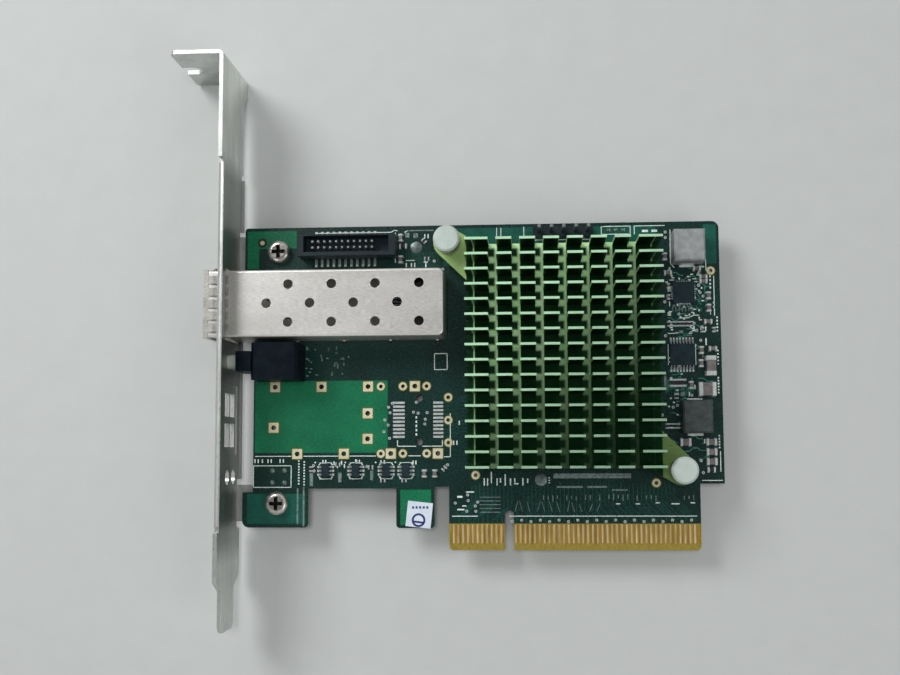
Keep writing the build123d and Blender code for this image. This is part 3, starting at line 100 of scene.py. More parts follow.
def rampColour(tree, value, stops):
    ramp = tree.nodes.new("ShaderNodeValToRGB")
    elements = ramp.color_ramp.elements
    elements.remove(elements[1])
    elements[0].position = stops[0][0]
    elements[0].color = (*stops[0][1], 1)
    for position, colour in stops[1:]:
        elements.new(position).color = (*colour, 1)
    tree.links.new(value, ramp.inputs["Fac"])
    return ramp.outputs["Color"]


def twoTone(tree, value, tones, low=0.3, high=0.7):
    return rampColour(tree, value, [(low, tones[0]), (high, tones[1])])


def spread(tree, value, low, high, fromLow=0.3, fromHigh=0.7):
    remap = tree.nodes.new("ShaderNodeMapRange")
    remap.inputs["From Min"].default_value = fromLow
    remap.inputs["From Max"].default_value = fromHigh
    remap.inputs["To Min"].default_value = low
    remap.inputs["To Max"].default_value = high
    tree.links.new(value, remap.inputs["Value"])
    return remap.outputs["Result"]


def mathNode(tree, operation, first, second):
    node = tree.nodes.new("ShaderNodeMath")
    node.operation = operation
    for socket, value in zip(node.inputs, (first, second)):
        if isinstance(value, (int, float)):
            socket.default_value = value
        else:
            tree.links.new(value, socket)
    return node.outputs["Value"]


def absolute(tree, value):
    return mathNode(tree, "ABSOLUTE", value, 0)


def fromWhole(tree, value):                 # how far a value is past the nearest whole number
    return mathNode(tree, "SUBTRACT", value, mathNode(tree, "ROUND", value, 0))


def mixColour(tree, share, first, second, blend="MIX"):
    mix = tree.nodes.new("ShaderNodeMix")
    mix.data_type = "RGBA"
    mix.blend_type = blend
    sockets = (mix.inputs["Factor"], mix.inputs[6], mix.inputs[7])
    for socket, value in zip(sockets, (share, first, second)):
        if isinstance(value, tuple):
            socket.default_value = (*value, 1)
        elif isinstance(value, (int, float)):
            socket.default_value = value
        else:
            tree.links.new(value, socket)
    return mix.outputs[2]


def tinted(tree, colour, tint):
    return mixColour(tree, 1.0, colour, tint, "MULTIPLY")


def finishShader(tree, shader, colour, wear, rough, metal=0):
    tree.links.new(colour, shader.inputs["Base Color"])
    tree.links.new(spread(tree, wear, *rough), shader.inputs["Roughness"])
    shader.inputs["Metallic"].default_value = metal


def bumpNormal(tree, shader, height, strength, depth, edge=0):
    bump = tree.nodes.new("ShaderNodeBump")
    bump.inputs["Strength"].default_value = strength
    bump.inputs["Distance"].default_value = depth * mm
    tree.links.new(height, bump.inputs["Height"])
    if edge:
        soften = tree.nodes.new("ShaderNodeBevel")           # softens the sharp edges of a hard part
        soften.samples = 4
        soften.inputs["Radius"].default_value = edge * mm
        tree.links.new(soften.outputs["Normal"], bump.inputs["Normal"])
    tree.links.new(bump.outputs["Normal"], shader.inputs["Normal"])


def axisValue(tree, axis, kind="Object"):
    coordinates = tree.nodes.new("ShaderNodeTexCoord")
    parts = tree.nodes.new("ShaderNodeSeparateXYZ")
    tree.links.new(coordinates.outputs[kind], parts.inputs["Vector"])
    return parts.outputs[axis]


# Materials

def mottledMaterial(name, look):
    material, tree, shader = startMaterial(name)
    place = objectPlace(tree, look.get("stretch", (1, 1, 1)))
    blotch = noiseValue(tree, place, look["blotch"])
    grain = noiseValue(tree, place, look["grain"], 4, 0.6)
    speck = twoTone(tree, grain, ((0.86, 0.86, 0.86), (1, 1, 1)), 0.35, 0.65)
    colour = tinted(tree, twoTone(tree, blotch, look["colours"], 0.32, 0.68), speck)
    finishShader(tree, shader, colour, grain, look["rough"], look.get("metal", 0))
    shader.inputs["Specular IOR Level"].default_value = look.get("gloss", 0.5)
    bumpNormal(tree, shader, grain, look["bump"], look.get("depth", 0.02), look.get("edge", 0))
    return material


def laminateMaterial():
    look = {
        "mask": ((0.0020, 0.016, 0.013), (0.0032, 0.028, 0.022)),      # dark and lighter solder mask
        "bare": ((0.20, 0.145, 0.012), (0.32, 0.24, 0.03)),            # bare glass fibre on the contact tab
        "side": (0.05, 0.10, 0.035),
        "bareTop": 5.55,
        "tabLeft": -12.8,
        "steep": 0.3,                                # a face whose normal rises less than this is a side
        "cloud": 9.0,
        "streak": 0.3,
        "weave": 0.42,
        "weaveShare": 0.25,
        "grain": 0.35,
        "rough": (0.22, 0.36),
    }
    material, tree, shader = startMaterial("solder_mask_laminate")
    place = objectPlace(tree)
    mask = twoTone(tree, noiseValue(tree, place, look["cloud"], 2), look["mask"])
    streaks = noiseValue(tree, objectPlace(tree, (1, 0.05, 1)), look["streak"], 2)
    bare = twoTone(tree, streaks, look["bare"])
    below = mathNode(tree, "LESS_THAN", axisValue(tree, "Y"), look["bareTop"] * mm)
    onTab = mathNode(tree, "GREATER_THAN", axisValue(tree, "X"), look["tabLeft"] * mm)
    colour = mixColour(tree, mathNode(tree, "MULTIPLY", below, onTab), mask, bare)
    geometry = tree.nodes.new("ShaderNodeNewGeometry")
    facing = tree.nodes.new("ShaderNodeSeparateXYZ")
    tree.links.new(geometry.outputs["Normal"], facing.inputs["Vector"])
    upright = mathNode(tree, "LESS_THAN", absolute(tree, facing.outputs["Z"]), look["steep"])
    colour = mixColour(tree, upright, colour, look["side"])
    weave = tree.nodes.new("ShaderNodeTexChecker")
    weave.inputs["Scale"].default_value = 1 / (look["weave"] * mm)
    tree.links.new(place, weave.inputs["Vector"])
    grain = noiseValue(tree, place, look["grain"], 3)
    woven = mathNode(tree, "MULTIPLY", weave.outputs["Fac"], look["weaveShare"])
    finishShader(tree, shader, colour, grain, look["rough"])
    bumpNormal(tree, shader, mathNode(tree, "ADD", woven, grain), 0.2, 0.02)
    return material


fins = {
    "extruded": ((0.007, 0.042, 0.014), (0.018, 0.085, 0.030)),      # dark faces between the blades, their darkness painted shade
    "cut": ((0.50, 0.90, 0.42), (0.72, 1.00, 0.60)),                 # paler where the saw went across, partly the fresh cut metal and partly painted light on the cut floors
    # painted shade of the cut floors
    "cutPaintedShade": (0.022, 0.075, 0.032),
    "ear": ((0.30, 0.48, 0.15), (0.46, 0.66, 0.28)),
    # painted shade of the ears
    "earPaintedShade": (0.15, 0.25, 0.08),
    "tip": (0.58, 0.92, 0.62),
    # painted shade of the fin tips
    "tipPaintedShade": (0.27, 0.44, 0.30),
    "streak": ((0.82, 0.84, 0.80), (1, 1, 1)),
    "tipDepth": 0.3,
    "earFrom": 20.01,                            # ears reach past the base, from the middle of the heat sink
    "cutPitch": 4.8,
    "cutWidth": 1.75,
    "cutReach": 18.6,
    "finPitch": 3.076,
    "nearFin": (0.14, 0.30),                     # in shares of the fins' pitch; painted light on the cut floors next to each fin
    "cutSideHighlight": (0.02, 0.10),                        # in shares of the cuts' pitch; a painted highlight along one side of each cut
    "paintedShadeRamp": (-16, 26),                           # where the painted shade starts and ends on the diagonal: full colour towards low X and high Y, darker towards high X and low Y
    # the least light that the painted shade leaves
    "paintedShadeLeast": 0.08,
    "metal": (0.92, 0.35),                       # of the dark faces and of the satin ones
    "rough": (0.26, 0.42),
}


def finShares(tree):                             # how much each place is cut, ear or tip, and its painted light and painted shade
    low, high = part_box("heat_sink")
    along = mathNode(tree, "SUBTRACT", axisValue(tree, "X"), (low.x + high.x) / 2)
    across = mathNode(tree, "SUBTRACT", axisValue(tree, "Y"), (low.y + high.y) / 2)
    reach = absolute(tree, along)
    onEar = mathNode(tree, "GREATER_THAN", reach, fins["earFrom"] * mm)
    onTip = mathNode(tree, "GREATER_THAN", axisValue(tree, "Z"), high.z - fins["tipDepth"] * mm)
    offset = fromWhole(tree, mathNode(tree, "MULTIPLY", along, 1 / (fins["cutPitch"] * mm)))
    inCut = mathNode(tree, "LESS_THAN", absolute(tree, offset), fins["cutWidth"] / fins["cutPitch"] / 2)
    inside = mathNode(tree, "LESS_THAN", reach, fins["cutReach"] * mm)
    rows = mathNode(tree, "ADD", mathNode(tree, "MULTIPLY", across, 1 / (fins["finPitch"] * mm)), 0.5)
    nearFin = spread(tree, absolute(tree, fromWhole(tree, rows)), 1, 0, *fins["nearFin"])
    cutSideHighlight = spread(tree, offset, 0, 1, *fins["cutSideHighlight"])          # a painted highlight along one side of each cut
    # painted shade across the heat sink, darker towards one corner
    start, end = fins["paintedShadeRamp"]
    slope = mathNode(tree, "SUBTRACT", along, across)
    paintedShadeRamp = spread(tree, slope, 1, fins["paintedShadeLeast"], start * mm, end * mm)
    # painted light on the cut floors, next to the fins and on one side of each cut, dimmed by the painted
    # shade
    pale = mathNode(tree, "MULTIPLY", mathNode(tree, "MAXIMUM", nearFin, cutSideHighlight), paintedShadeRamp)
    satin = mathNode(tree, "MAXIMUM", onTip, onEar)
    satin = mathNode(tree, "MAXIMUM", satin, mathNode(tree, "MULTIPLY", pale, inCut))
    return mathNode(tree, "MULTIPLY", inCut, inside), onEar, onTip, pale, paintedShadeRamp, satin


def finMaterial():
    material, tree, shader = startMaterial("chromated_aluminium")
    streaks = noiseValue(tree, objectPlace(tree, (0.08, 1, 1)), 0.25, 4, 0.6)   # drawn out along the fins
    blotch = noiseValue(tree, objectPlace(tree), 5.0, 3)
    onCut, onEar, onTip, pale, paintedShadeRamp, satin = finShares(tree)
    # cut floors, ears and tips blend towards their painted-shade colours
    cut = mixColour(tree, pale, fins["cutPaintedShade"], twoTone(tree, blotch, fins["cut"]))
    ear = mixColour(tree, paintedShadeRamp, fins["earPaintedShade"], twoTone(tree, blotch, fins["ear"]))
    tip = mixColour(tree, paintedShadeRamp, fins["tipPaintedShade"], fins["tip"])
    colour = mixColour(tree, onCut, twoTone(tree, blotch, fins["extruded"]), cut)
    colour = mixColour(tree, onEar, colour, ear)
    colour = mixColour(tree, onTip, colour, tip)
    colour = tinted(tree, colour, twoTone(tree, streaks, fins["streak"]))
    finishShader(tree, shader, colour, streaks, fins["rough"])
    tree.links.new(spread(tree, satin, *fins["metal"], 0, 1), shader.inputs["Metallic"])
    bumpNormal(tree, shader, streaks, 0.35, 0.03, 0.06)
    return material


def chipMaterial():
    look = {
        "colours": ((0.005, 0.016, 0.022), (0.012, 0.030, 0.038)),
        "glint": ((0.75, 0.75, 0.75), (1.35, 1.35, 1.35)),
        "rough": (0.40, 0.54),
        "gloss": 0.3,
    }
    material, tree, shader = startMaterial("chip_plastic")
    place = objectPlace(tree)
    speck = noiseValue(tree, place, 0.08, 2, 0.7)
    cloud = noiseValue(tree, place, 1.6, 3)
    glint = twoTone(tree, speck, look["glint"], 0.45, 0.75)
    colour = tinted(tree, twoTone(tree, cloud, look["colours"]), glint)
    finishShader(tree, shader, colour, cloud, look["rough"])
    shader.inputs["Specular IOR Level"].default_value = look["gloss"]
    bumpNormal(tree, shader, speck, 0.35, 0.012, 0.05)
    return material


def fingerMaterial():
    look = {
        "pitch": 1.0,
        "halfWidth": 0.35,
        # painted highlight: a bright streak down one side of each finger
        "bright": ((0.86, 0.62, 0.32), (1.0, 0.84, 0.52)),
        "brown": ((0.40, 0.20, 0.03), (0.72, 0.42, 0.12)),
        "highlightFalloff": (-0.12, 0.14),                   # from the painted highlight to the brown, in shares of the pitch
        "rough": (0.28, 0.42),
        "metal": 0.85,
    }
    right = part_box("edge_contacts")[1].x
    material, tree, shader = startMaterial("contact_gold")
    wear = noiseValue(tree, objectPlace(tree, (1, 0.15, 1)), 0.8, 3)
    wide = noiseValue(tree, objectPlace(tree, (1, 0.3, 1)), 7.0, 2)
    along = mathNode(tree, "SUBTRACT", axisValue(tree, "X"), right - look["halfWidth"] * mm)
    offset = fromWhole(tree, mathNode(tree, "MULTIPLY", along, 1 / (look["pitch"] * mm)))
    # painted highlight on one side of each finger, brown on the rest
    lit = spread(tree, offset, 1, 0, *look["highlightFalloff"])
    colour = mixColour(tree, lit, twoTone(tree, wide, look["brown"]), twoTone(tree, wear, look["bright"]))
    finishShader(tree, shader, colour, wear, look["rough"], look["metal"])
    bumpNormal(tree, shader, wear, 0.2, 0.01)
    return material


def screwMaterial():
    look = {
        "bright": ((0.40, 0.385, 0.36), (0.62, 0.60, 0.57)),
        # painted shade in the cross recess of each head
        "paintedRecessShade": (0.025, 0.024, 0.022),
        "reach": (1.4, 1.5),                         # painted shade of the cross recess, up to here from the middle of the head
        "depth": (0.5, 0.2),                         # painted shade of the cross recess, from here down under the top of the head
        "rough": (0.2, 0.34),
        "metal": 0.95,
    }
    low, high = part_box("bracket_screws")
    material, tree, shader = startMaterial("screw_steel")
    wear = noiseValue(tree, objectPlace(tree), 0.9, 4)
    across = mathNode(tree, "SUBTRACT", axisValue(tree, "X"), (low.x + high.x) / 2)
    along = absolute(tree, mathNode(tree, "SUBTRACT", axisValue(tree, "Y"), (low.y + high.y) / 2))
    along = mathNode(tree, "SUBTRACT", along, (high.y - low.y) / 2 - (high.x - low.x) / 2)
    reach = mathNode(tree, "ADD", mathNode(tree, "POWER", across, 2), mathNode(tree, "POWER", along, 2))
    near, far = look["reach"]
    inside = spread(tree, mathNode(tree, "SQRT", reach, 0), 1, 0, near * mm, far * mm)
    deeper, higher = look["depth"]
    deep = spread(tree, axisValue(tree, "Z"), 1, 0, high.z - deeper * mm, high.z - higher * mm)
    recessShadeShare = mathNode(tree, "MULTIPLY", inside, deep)
    colour = mixColour(tree, recessShadeShare, twoTone(tree, wear, look["bright"]), look["paintedRecessShade"])
    finishShader(tree, shader, colour, wear, look["rough"], look["metal"])
    bumpNormal(tree, shader, wear, 0.2, 0.015, 0.06)
    return material


def paintInnerFaceShade():
    # painted shade: darkens the bracket's inner face from the tongue up to the relief notches in cloudy
    # patches, and lightens it beyond
    look = {
        "low": 0.0, "high": 80.7, "soft": 2.5,                 # from the tongue up to the relief notches
        "dark": (0.42, 0.43, 0.43), "pale": (1.16, 1.16, 1.15),
        "patch": 14.0, "patchShare": (0.75, 1.0),
        "inward": (0.5, 0.9),
    }
    tree = materials["bracket_steel"].node_tree
    shader = next(node for node in tree.nodes if node.type == "BSDF_PRINCIPLED")
    colour = shader.inputs["Base Color"].links[0].from_socket
    height = axisValue(tree, "Y")
    soft = look["soft"]
    above = spread(tree, height, 0, 1, (look["low"] - soft) * mm, (look["low"] + soft) * mm)
    below = spread(tree, height, 1, 0, (look["high"] - soft) * mm, (look["high"] + soft) * mm)
    inward = spread(tree, axisValue(tree, "X", "Normal"), 0, 1, *look["inward"])
    patches = noiseValue(tree, objectPlace(tree, (1, 0.3, 1)), look["patch"], 3)
    cloud = spread(tree, patches, *look["patchShare"])
    band = mathNode(tree, "MULTIPLY", mathNode(tree, "MULTIPLY", above, below), cloud)
    toned = tinted(tree, colour, mixColour(tree, band, look["pale"], look["dark"]))
    tree.links.new(mixColour(tree, inward, colour, toned), shader.inputs["Base Color"])


def lensMaterial():
    look = {
        "colours": ((0.52, 0.58, 0.50), (0.66, 0.72, 0.64)),
        "clear": 0.55,
        "bend": 1.5,
        "rough": (0.08, 0.16),
    }
    material, tree, shader = startMaterial("tinted_lens")
    swirl = noiseValue(tree, objectPlace(tree), 1.2, 2)
    finishShader(tree, shader, twoTone(tree, swirl, look["colours"]), swirl, look["rough"])
    shader.inputs["Transmission Weight"].default_value = look["clear"]
    shader.inputs["IOR"].default_value = look["bend"]
    return material


looks = {
    "pad_gold": {
        "colours": ((0.82, 0.74, 0.44), (0.95, 0.90, 0.66)), "blotch": 3.0, "grain": 0.12,
        "metal": 0.7, "rough": (0.34, 0.5), "bump": 0.2, "depth": 0.01,
    },
    "dull_solder": {
        "colours": ((0.10, 0.135, 0.125), (0.20, 0.25, 0.235)), "blotch": 0.7, "grain": 0.12,
        "metal": 0.6, "rough": (0.3, 0.45), "bump": 0.35, "depth": 0.02,
    },
    "solder_tin": {
        "colours": ((0.66, 0.73, 0.71), (0.88, 0.94, 0.92)), "blotch": 0.6, "grain": 0.1,
        "metal": 0.6, "rough": (0.2, 0.38), "bump": 0.3, "depth": 0.02,
    },
    "bracket_steel": {
        "colours": ((0.52, 0.54, 0.52), (0.70, 0.72, 0.69)), "blotch": 4.0, "grain": 0.22,
        "stretch": (1, 0.25, 1), "metal": 0.9, "rough": (0.26, 0.42),
        "bump": 0.2, "depth": 0.015, "edge": 0.12,
    },
    "cage_steel": {
        "colours": ((0.68, 0.67, 0.635), (0.90, 0.885, 0.85)), "blotch": 11.0, "grain": 0.2,
        "stretch": (0.2, 1, 1), "metal": 0.85, "rough": (0.3, 0.44),
        "bump": 0.15, "depth": 0.01, "edge": 0.08,
    },
    "collar_steel": {
        "colours": ((0.60, 0.58, 0.54), (0.78, 0.76, 0.72)), "blotch": 2.0, "grain": 0.12,
        "metal": 0.9, "rough": (0.22, 0.36), "bump": 0.15, "depth": 0.01,
    },
    "spring_steel": {
        "colours": ((0.5, 0.5, 0.5), (0.68, 0.68, 0.67)), "blotch": 0.8, "grain": 0.1,
        "metal": 0.95, "rough": (0.2, 0.34), "bump": 0.15, "depth": 0.01,
    },
    "pin_plastic": {
        "colours": ((0.44, 0.51, 0.475), (0.53, 0.60, 0.565)), "blotch": 3.5, "grain": 0.18,
        "rough": (0.42, 0.56), "bump": 0.25, "depth": 0.015, "edge": 0.12, "gloss": 0.4,
    },
    "header_plastic": {
        "colours": ((0.005, 0.012, 0.016), (0.012, 0.024, 0.030)), "blotch": 3.0, "grain": 0.12,
        "rough": (0.34, 0.5), "bump": 0.3, "depth": 0.015, "edge": 0.08, "gloss": 0.3,
    },
    "host_plastic": {
        "colours": ((0.02, 0.02, 0.021), (0.04, 0.04, 0.042)), "blotch": 2.0, "grain": 0.12,
        "rough": (0.4, 0.55), "bump": 0.25, "depth": 0.015,
    },
    "lamp_housing": {
        "colours": ((0.0015, 0.004, 0.007), (0.004, 0.009, 0.014)), "blotch": 2.4, "grain": 0.14,
        "rough": (0.4, 0.56), "bump": 0.35, "depth": 0.015, "edge": 0.1, "gloss": 0.08,
    },
    "soft_pad": {
        "colours": ((0.30, 0.31, 0.33), (0.40, 0.41, 0.43)), "blotch": 1.6, "grain": 0.2,
        "rough": (0.7, 0.85), "bump": 0.3,
    },
    "ferrite_pale": {
        "colours": ((0.21, 0.225, 0.23), (0.31, 0.325, 0.33)), "blotch": 1.6, "grain": 0.16,
        "rough": (0.45, 0.62), "bump": 0.5, "depth": 0.03, "edge": 0.15,
    },
    "ferrite_dark": {
        "colours": ((0.028, 0.036, 0.036), (0.055, 0.066, 0.066)), "blotch": 1.4, "grain": 0.16,
        "rough": (0.42, 0.6), "bump": 0.5, "depth": 0.03, "edge": 0.15, "gloss": 0.3,
    },
    "capacitor_ceramic": {
        "colours": ((0.105, 0.095, 0.095), (0.175, 0.16, 0.16)), "blotch": 0.8, "grain": 0.08,
        "rough": (0.4, 0.55), "bump": 0.3, "depth": 0.01, "edge": 0.05,
    },
    "resistor_ceramic": {
        "colours": ((0.012, 0.014, 0.016), (0.03, 0.033, 0.036)), "blotch": 0.5, "grain": 0.06,
        "rough": (0.25, 0.4), "bump": 0.2, "depth": 0.01, "edge": 0.03,
    },
    "pin_tin": {
        "colours": ((0.42, 0.44, 0.44), (0.60, 0.62, 0.62)), "blotch": 1.0, "grain": 0.08,
        "metal": 0.9, "rough": (0.22, 0.36), "bump": 0.15, "depth": 0.01,
    },
    "sticker_paper": {
        "colours": ((0.60, 0.68, 0.78), (0.70, 0.77, 0.86)), "blotch": 1.8, "grain": 0.12,
        "rough": (0.5, 0.65), "bump": 0.3, "depth": 0.01,
    },
    "marking_ink": {
        "colours": ((0.54, 0.64, 0.59), (0.76, 0.86, 0.81)), "blotch": 0.6, "grain": 0.07,
        "rough": (0.55, 0.7), "bump": 0.2, "depth": 0.005,
    },
    "mask_over_copper": {
        "colours": ((0.0045, 0.115, 0.052), (0.007, 0.165, 0.072)), "blotch": 7.0, "grain": 0.3,
        "rough": (0.22, 0.34), "bump": 0.12, "depth": 0.01,
    },
    "mask_over_tracks": {
        "colours": ((0.006, 0.048, 0.038), (0.012, 0.080, 0.060)), "blotch": 2.0, "grain": 0.2,
        "rough": (0.22, 0.34), "bump": 0.12, "depth": 0.01,
    },
    "mask_over_edges": {
        "colours": ((0.0040, 0.066, 0.046), (0.0070, 0.098, 0.070)), "blotch": 2.4, "grain": 0.25,
        "rough": (0.24, 0.36), "bump": 0.12, "depth": 0.01,
    },
    "mask_over_thin": {
        "colours": ((0.030, 0.17, 0.13), (0.075, 0.31, 0.235)), "blotch": 1.0, "grain": 0.2,
        "rough": (0.22, 0.34), "bump": 0.12, "depth": 0.01,
    },
    "bare_rim": {
        "colours": ((0.07, 0.085, 0.010), (0.13, 0.14, 0.025)), "blotch": 0.7, "grain": 0.1,
        "rough": (0.4, 0.55), "bump": 0.2, "depth": 0.01,
    },
    "faded_ink": {
        "colours": ((0.07, 0.105, 0.095), (0.20, 0.27, 0.245)), "blotch": 0.5, "grain": 0.07,
        "rough": (0.5, 0.65), "bump": 0.2, "depth": 0.005,
    },
    # dark marks, and painted shade for the via holes
    "hole_dark": {
        "colours": ((0.004, 0.006, 0.006), (0.012, 0.016, 0.016)), "blotch": 0.4, "grain": 0.06,
        "rough": (0.5, 0.65), "bump": 0.1,
    },
    "stamp_ink": {
        "colours": ((0.012, 0.018, 0.10), (0.03, 0.04, 0.18)), "blotch": 0.4, "grain": 0.05,
        "rough": (0.5, 0.65), "bump": 0.1,
    },
}
materials = {name: mottledMaterial(name, look) for name, look in looks.items()}
materials["board_laminate"] = laminateMaterial()
materials["sink_aluminium"] = finMaterial()
materials["lamp_plastic"] = lensMaterial()
materials["contact_gold"] = fingerMaterial()
materials["screw_steel"] = screwMaterial()
materials["chip_plastic"] = chipMaterial()
paintInnerFaceShade()
print("stage: materials made,", len(materials))


# Finishes of the solid pieces

dulled = {"solder_beads": "dull_solder"}           # the large beads have gone greyer than the fresh joints

for part in frame["record"]["subparts"]:
    piece = nodes[part["node"]]
    piece.data.materials.clear()
    piece.data.materials.append(materials[dulled.get(part["node"], part["material_slot"])])
print("stage: solid pieces finished")


# Small tools for meshes

def block(bm, low, high, turn=0):
    centre = Vector([(a + b) / 2 * mm for a, b in zip(low, high)])
    size = [(b - a) * mm for a, b in zip(low, high)]
    turned = Matrix.Rotation(math.radians(turn), 4, "Z")
    place = Matrix.Translation(centre) @ turned @ Matrix.Diagonal((*size, 1))
    bmesh.ops.create_cube(bm, size=1, matrix=place)


def disc(bm, x, y, diameter, low, high, sides=20):
    place = Matrix.Translation((x * mm, y * mm, (low + high) / 2 * mm))
    bmesh.ops.create_cone(
        bm, cap_ends=True, segments=sides, radius1=diameter / 2 * mm, radius2=diameter / 2 * mm,
        depth=(high - low) * mm, matrix=place,
    )


def ring(bm, x, y, outer, inner, low, high, sides=32):
    loops = set()
    place = Matrix.Translation((x * mm, y * mm, low * mm))
    for diameter in (outer, inner):
        made = bmesh.ops.create_circle(bm, segments=sides, radius=diameter / 2 * mm, matrix=place)
        loops.update(edge for vert in made["verts"] for edge in vert.link_edges)
    flat = bmesh.ops.bridge_loops(bm, edges=list(loops))
    made = bmesh.ops.extrude_face_region(bm, geom=flat["faces"])
    raised = [item for item in made["geom"] if isinstance(item, bmesh.types.BMVert)]
    bmesh.ops.translate(bm, verts=raised, vec=(0, 0, (high - low) * mm))
    bmesh.ops.recalc_face_normals(bm, faces=bm.faces)


def strip(bm, start, end, width, low, high):
    run = math.dist(start, end)
    angle = math.degrees(math.atan2(end[1] - start[1], end[0] - start[0]))
    x = (start[0] + end[0]) / 2
    y = (start[1] + end[1]) / 2
    block(bm, (x - run / 2, y - width / 2, low), (x + run / 2, y + width / 2, high), angle)


def path(bm, points, width, low, high):
    for start, end in zip(points, points[1:]):
        strip(bm, start, end, width, low, high)
    for x, y in points[1:-1]:
        disc(bm, x, y, width, low, high, 8)


def addPiece(bm, name, material):
    mesh = bpy.data.meshes.new(name)
    bm.to_mesh(mesh)
    bm.free()
    mesh.materials.append(materials[material])
    piece = bpy.data.objects.new(name, mesh)
    scene.collection.objects.link(piece)
    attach(piece, "root")
    return piece


def looseParts(node):
    bm = bmesh.new()
    bm.from_mesh(nodes[node].data)
    bmesh.ops.remove_doubles(bm, verts=bm.verts, dist=weld)
    left = set(bm.verts)
    parts = []
    while left:
        front = [left.pop()]
        found = list(front)
        while front:
            for edge in front.pop().link_edges:
                for vert in edge.verts:
                    if vert in left:
                        left.remove(vert)
                        front.append(vert)
                        found.append(vert)
        parts.append([vert.co / mm for vert in found])
    bm.free()
    return parts


def middleOf(points):
    low = Vector([min(point[axis] for point in points) for axis in range(3)])
    high = Vector([max(point[axis] for point in points) for axis in range(3)])
    return (low + high) / 2, low, high


# Copper under the mask: wide pours and tracks

copper = {
    "rise": 0.012,
    "pours": (
        ((-54.1, 20.4), (-25.6, 35.7)),          # ground field of the empty port
        ((-56.1, 64.4), (-45.4, 68.2)),
        ((-56.1, 60.0), (-53.6, 64.4)),
        ((-22.9, 5.2), (-16.4, 12.6)),
        ((-19.0, 44.9), (-13.6, 58.4)),
    ),
    "edgePours": (                               # duller fields near the board's edges
        ((-55.6, 5.5), (-43.1, 11.8)),
        ((-13.6, 60.0), (31.5, 68.2)),
        ((41.4, 59.8), (44.1, 68.2)),
    ),
    "trackRise": 0.018,                          # tracks lie over the pours
    "trackWidth": 0.17,
    "fan": {                                     # tracks that rise from the contacts and lean to the middle
        "from": 5.5, "bend": 6.2, "bendStep": 0.55, "bends": 4, "end": 13.2, "endStep": 0.4, "ends": 3,
        "middle": 11.5, "lean": 0.16,
    },
    "runs": (                                    # first place, step, count, and the corners of each track
        # from the empty port to the controller, from the header down, and above the small chips
        ((-13.6, 23.7), (0, 0.8), 10, ((0, 0), (2.2, 0), (3.3, 1.1), (5.6, 1.1))),
        ((-21.6, 63.2), (0.52, 0), 14, ((0, 0), (0, -2.6), (0.8, -3.4), (0.8, -4.3))),
        ((-40.5, 18.6), (1.9, 0), 12, ((0, 0), (0, -0.5), (0.5, -1.0), (0.5, -3.4))),
    ),
    "seed": 8,                                   # for the thin tracks of the right-hand column
    "bent": {
        "left": 32.8, "scatter": 7.4, "low": 14.8, "step": 0.8, "count": 56,
        "shortest": 1.0, "longer": 1.6, "bend": 0.6,
    },
    "upright": {
        "left": 33.0, "step": 0.27, "count": 22, "low": 33.0, "scatter": 2.0,
        "below": 1.0, "above": 0.6, "width": 0.12,
    },
    "slanted": {
        "left": 39.6, "scatter": 2.4, "low": 49.6, "step": 0.5, "count": 14,
        "leans": (-0.7, 0.0, 0.7), "rise": 0.8, "width": 0.14,
    },
}


def bothFaces(rise):                             # the levels of a layer on the component face and the other
    return (boardTop, boardTop + rise), (boardBottom - rise, boardBottom)


def boardField(low, high, level, rise):
    field = bmesh.new()
    field.from_mesh(nodes["circuit_board"].data)
    bmesh.ops.remove_doubles(field, verts=field.verts, dist=weld)
    away = set(vert for vert in field.verts if abs(vert.co.z - level * mm) > weld)
    others = [face for face in field.faces if away.intersection(face.verts)]
    bmesh.ops.delete(field, geom=others, context="FACES")
    sides = ((low, (-1, 0, 0)), (low, (0, -1, 0)), (high, (1, 0, 0)), (high, (0, 1, 0)))
    for corner, outward in sides:                # keeps the drillings and the board's own edge
        bmesh.ops.bisect_plane(
            field, geom=field.verts[:] + field.edges[:] + field.faces[:], dist=weld / 2,
            plane_co=Vector((*corner, level)) * mm, plane_no=outward, clear_outer=True,
        )
    lifted = bmesh.ops.extrude_face_region(field, geom=field.faces[:], use_keep_orig=True)
    verts = [item for item in lifted["geom"] if isinstance(item, bmesh.types.BMVert)]
    bmesh.ops.translate(field, verts=verts, vec=(0, 0, rise * mm))
    return field


def copperPours(fields, name, finish):
    bm = bmesh.new()
    for low, high in fields:
        for level, rise in ((boardTop, copper["rise"]), (boardBottom, -copper["rise"])):
            field = boardField(low, high, level, rise)
            mesh = bpy.data.meshes.new(name + "_field")
            field.to_mesh(mesh)
            field.free()
            bm.from_mesh(mesh)
            bpy.data.meshes.remove(mesh)
    bmesh.ops.recalc_face_normals(bm, faces=bm.faces[:])
    return addPiece(bm, name, finish)


def contactTracks(bm, low, high):
    fan = copper["fan"]
    columns = sorted(set(round(middleOf(part)[0].x, 2) for part in looseParts("edge_contacts")))
    for count, x in enumerate(columns):
        lean = (fan["middle"] - x) * fan["lean"]
        bend = fan["bend"] + fan["bendStep"] * (count % fan["bends"])
        end = fan["end"] + fan["endStep"] * (count % fan["ends"])
        points = [(x, fan["from"]), (x, bend), (x + lean, bend + abs(lean)), (x + lean, end)]
        path(bm, points, copper["trackWidth"], low, high)


def tracks():
    bm = bmesh.new()
    for low, high in bothFaces(copper["trackRise"]):
        contactTracks(bm, low, high)
        for (x, y), (stepX, stepY), count, corners in copper["runs"]:
            for n in range(count):
                points = [(x + n * stepX + across, y + n * stepY + up) for across, up in corners]
                path(bm, points, copper["trackWidth"], low, high)
    return addPiece(bm, "copper_tracks", "mask_over_tracks")


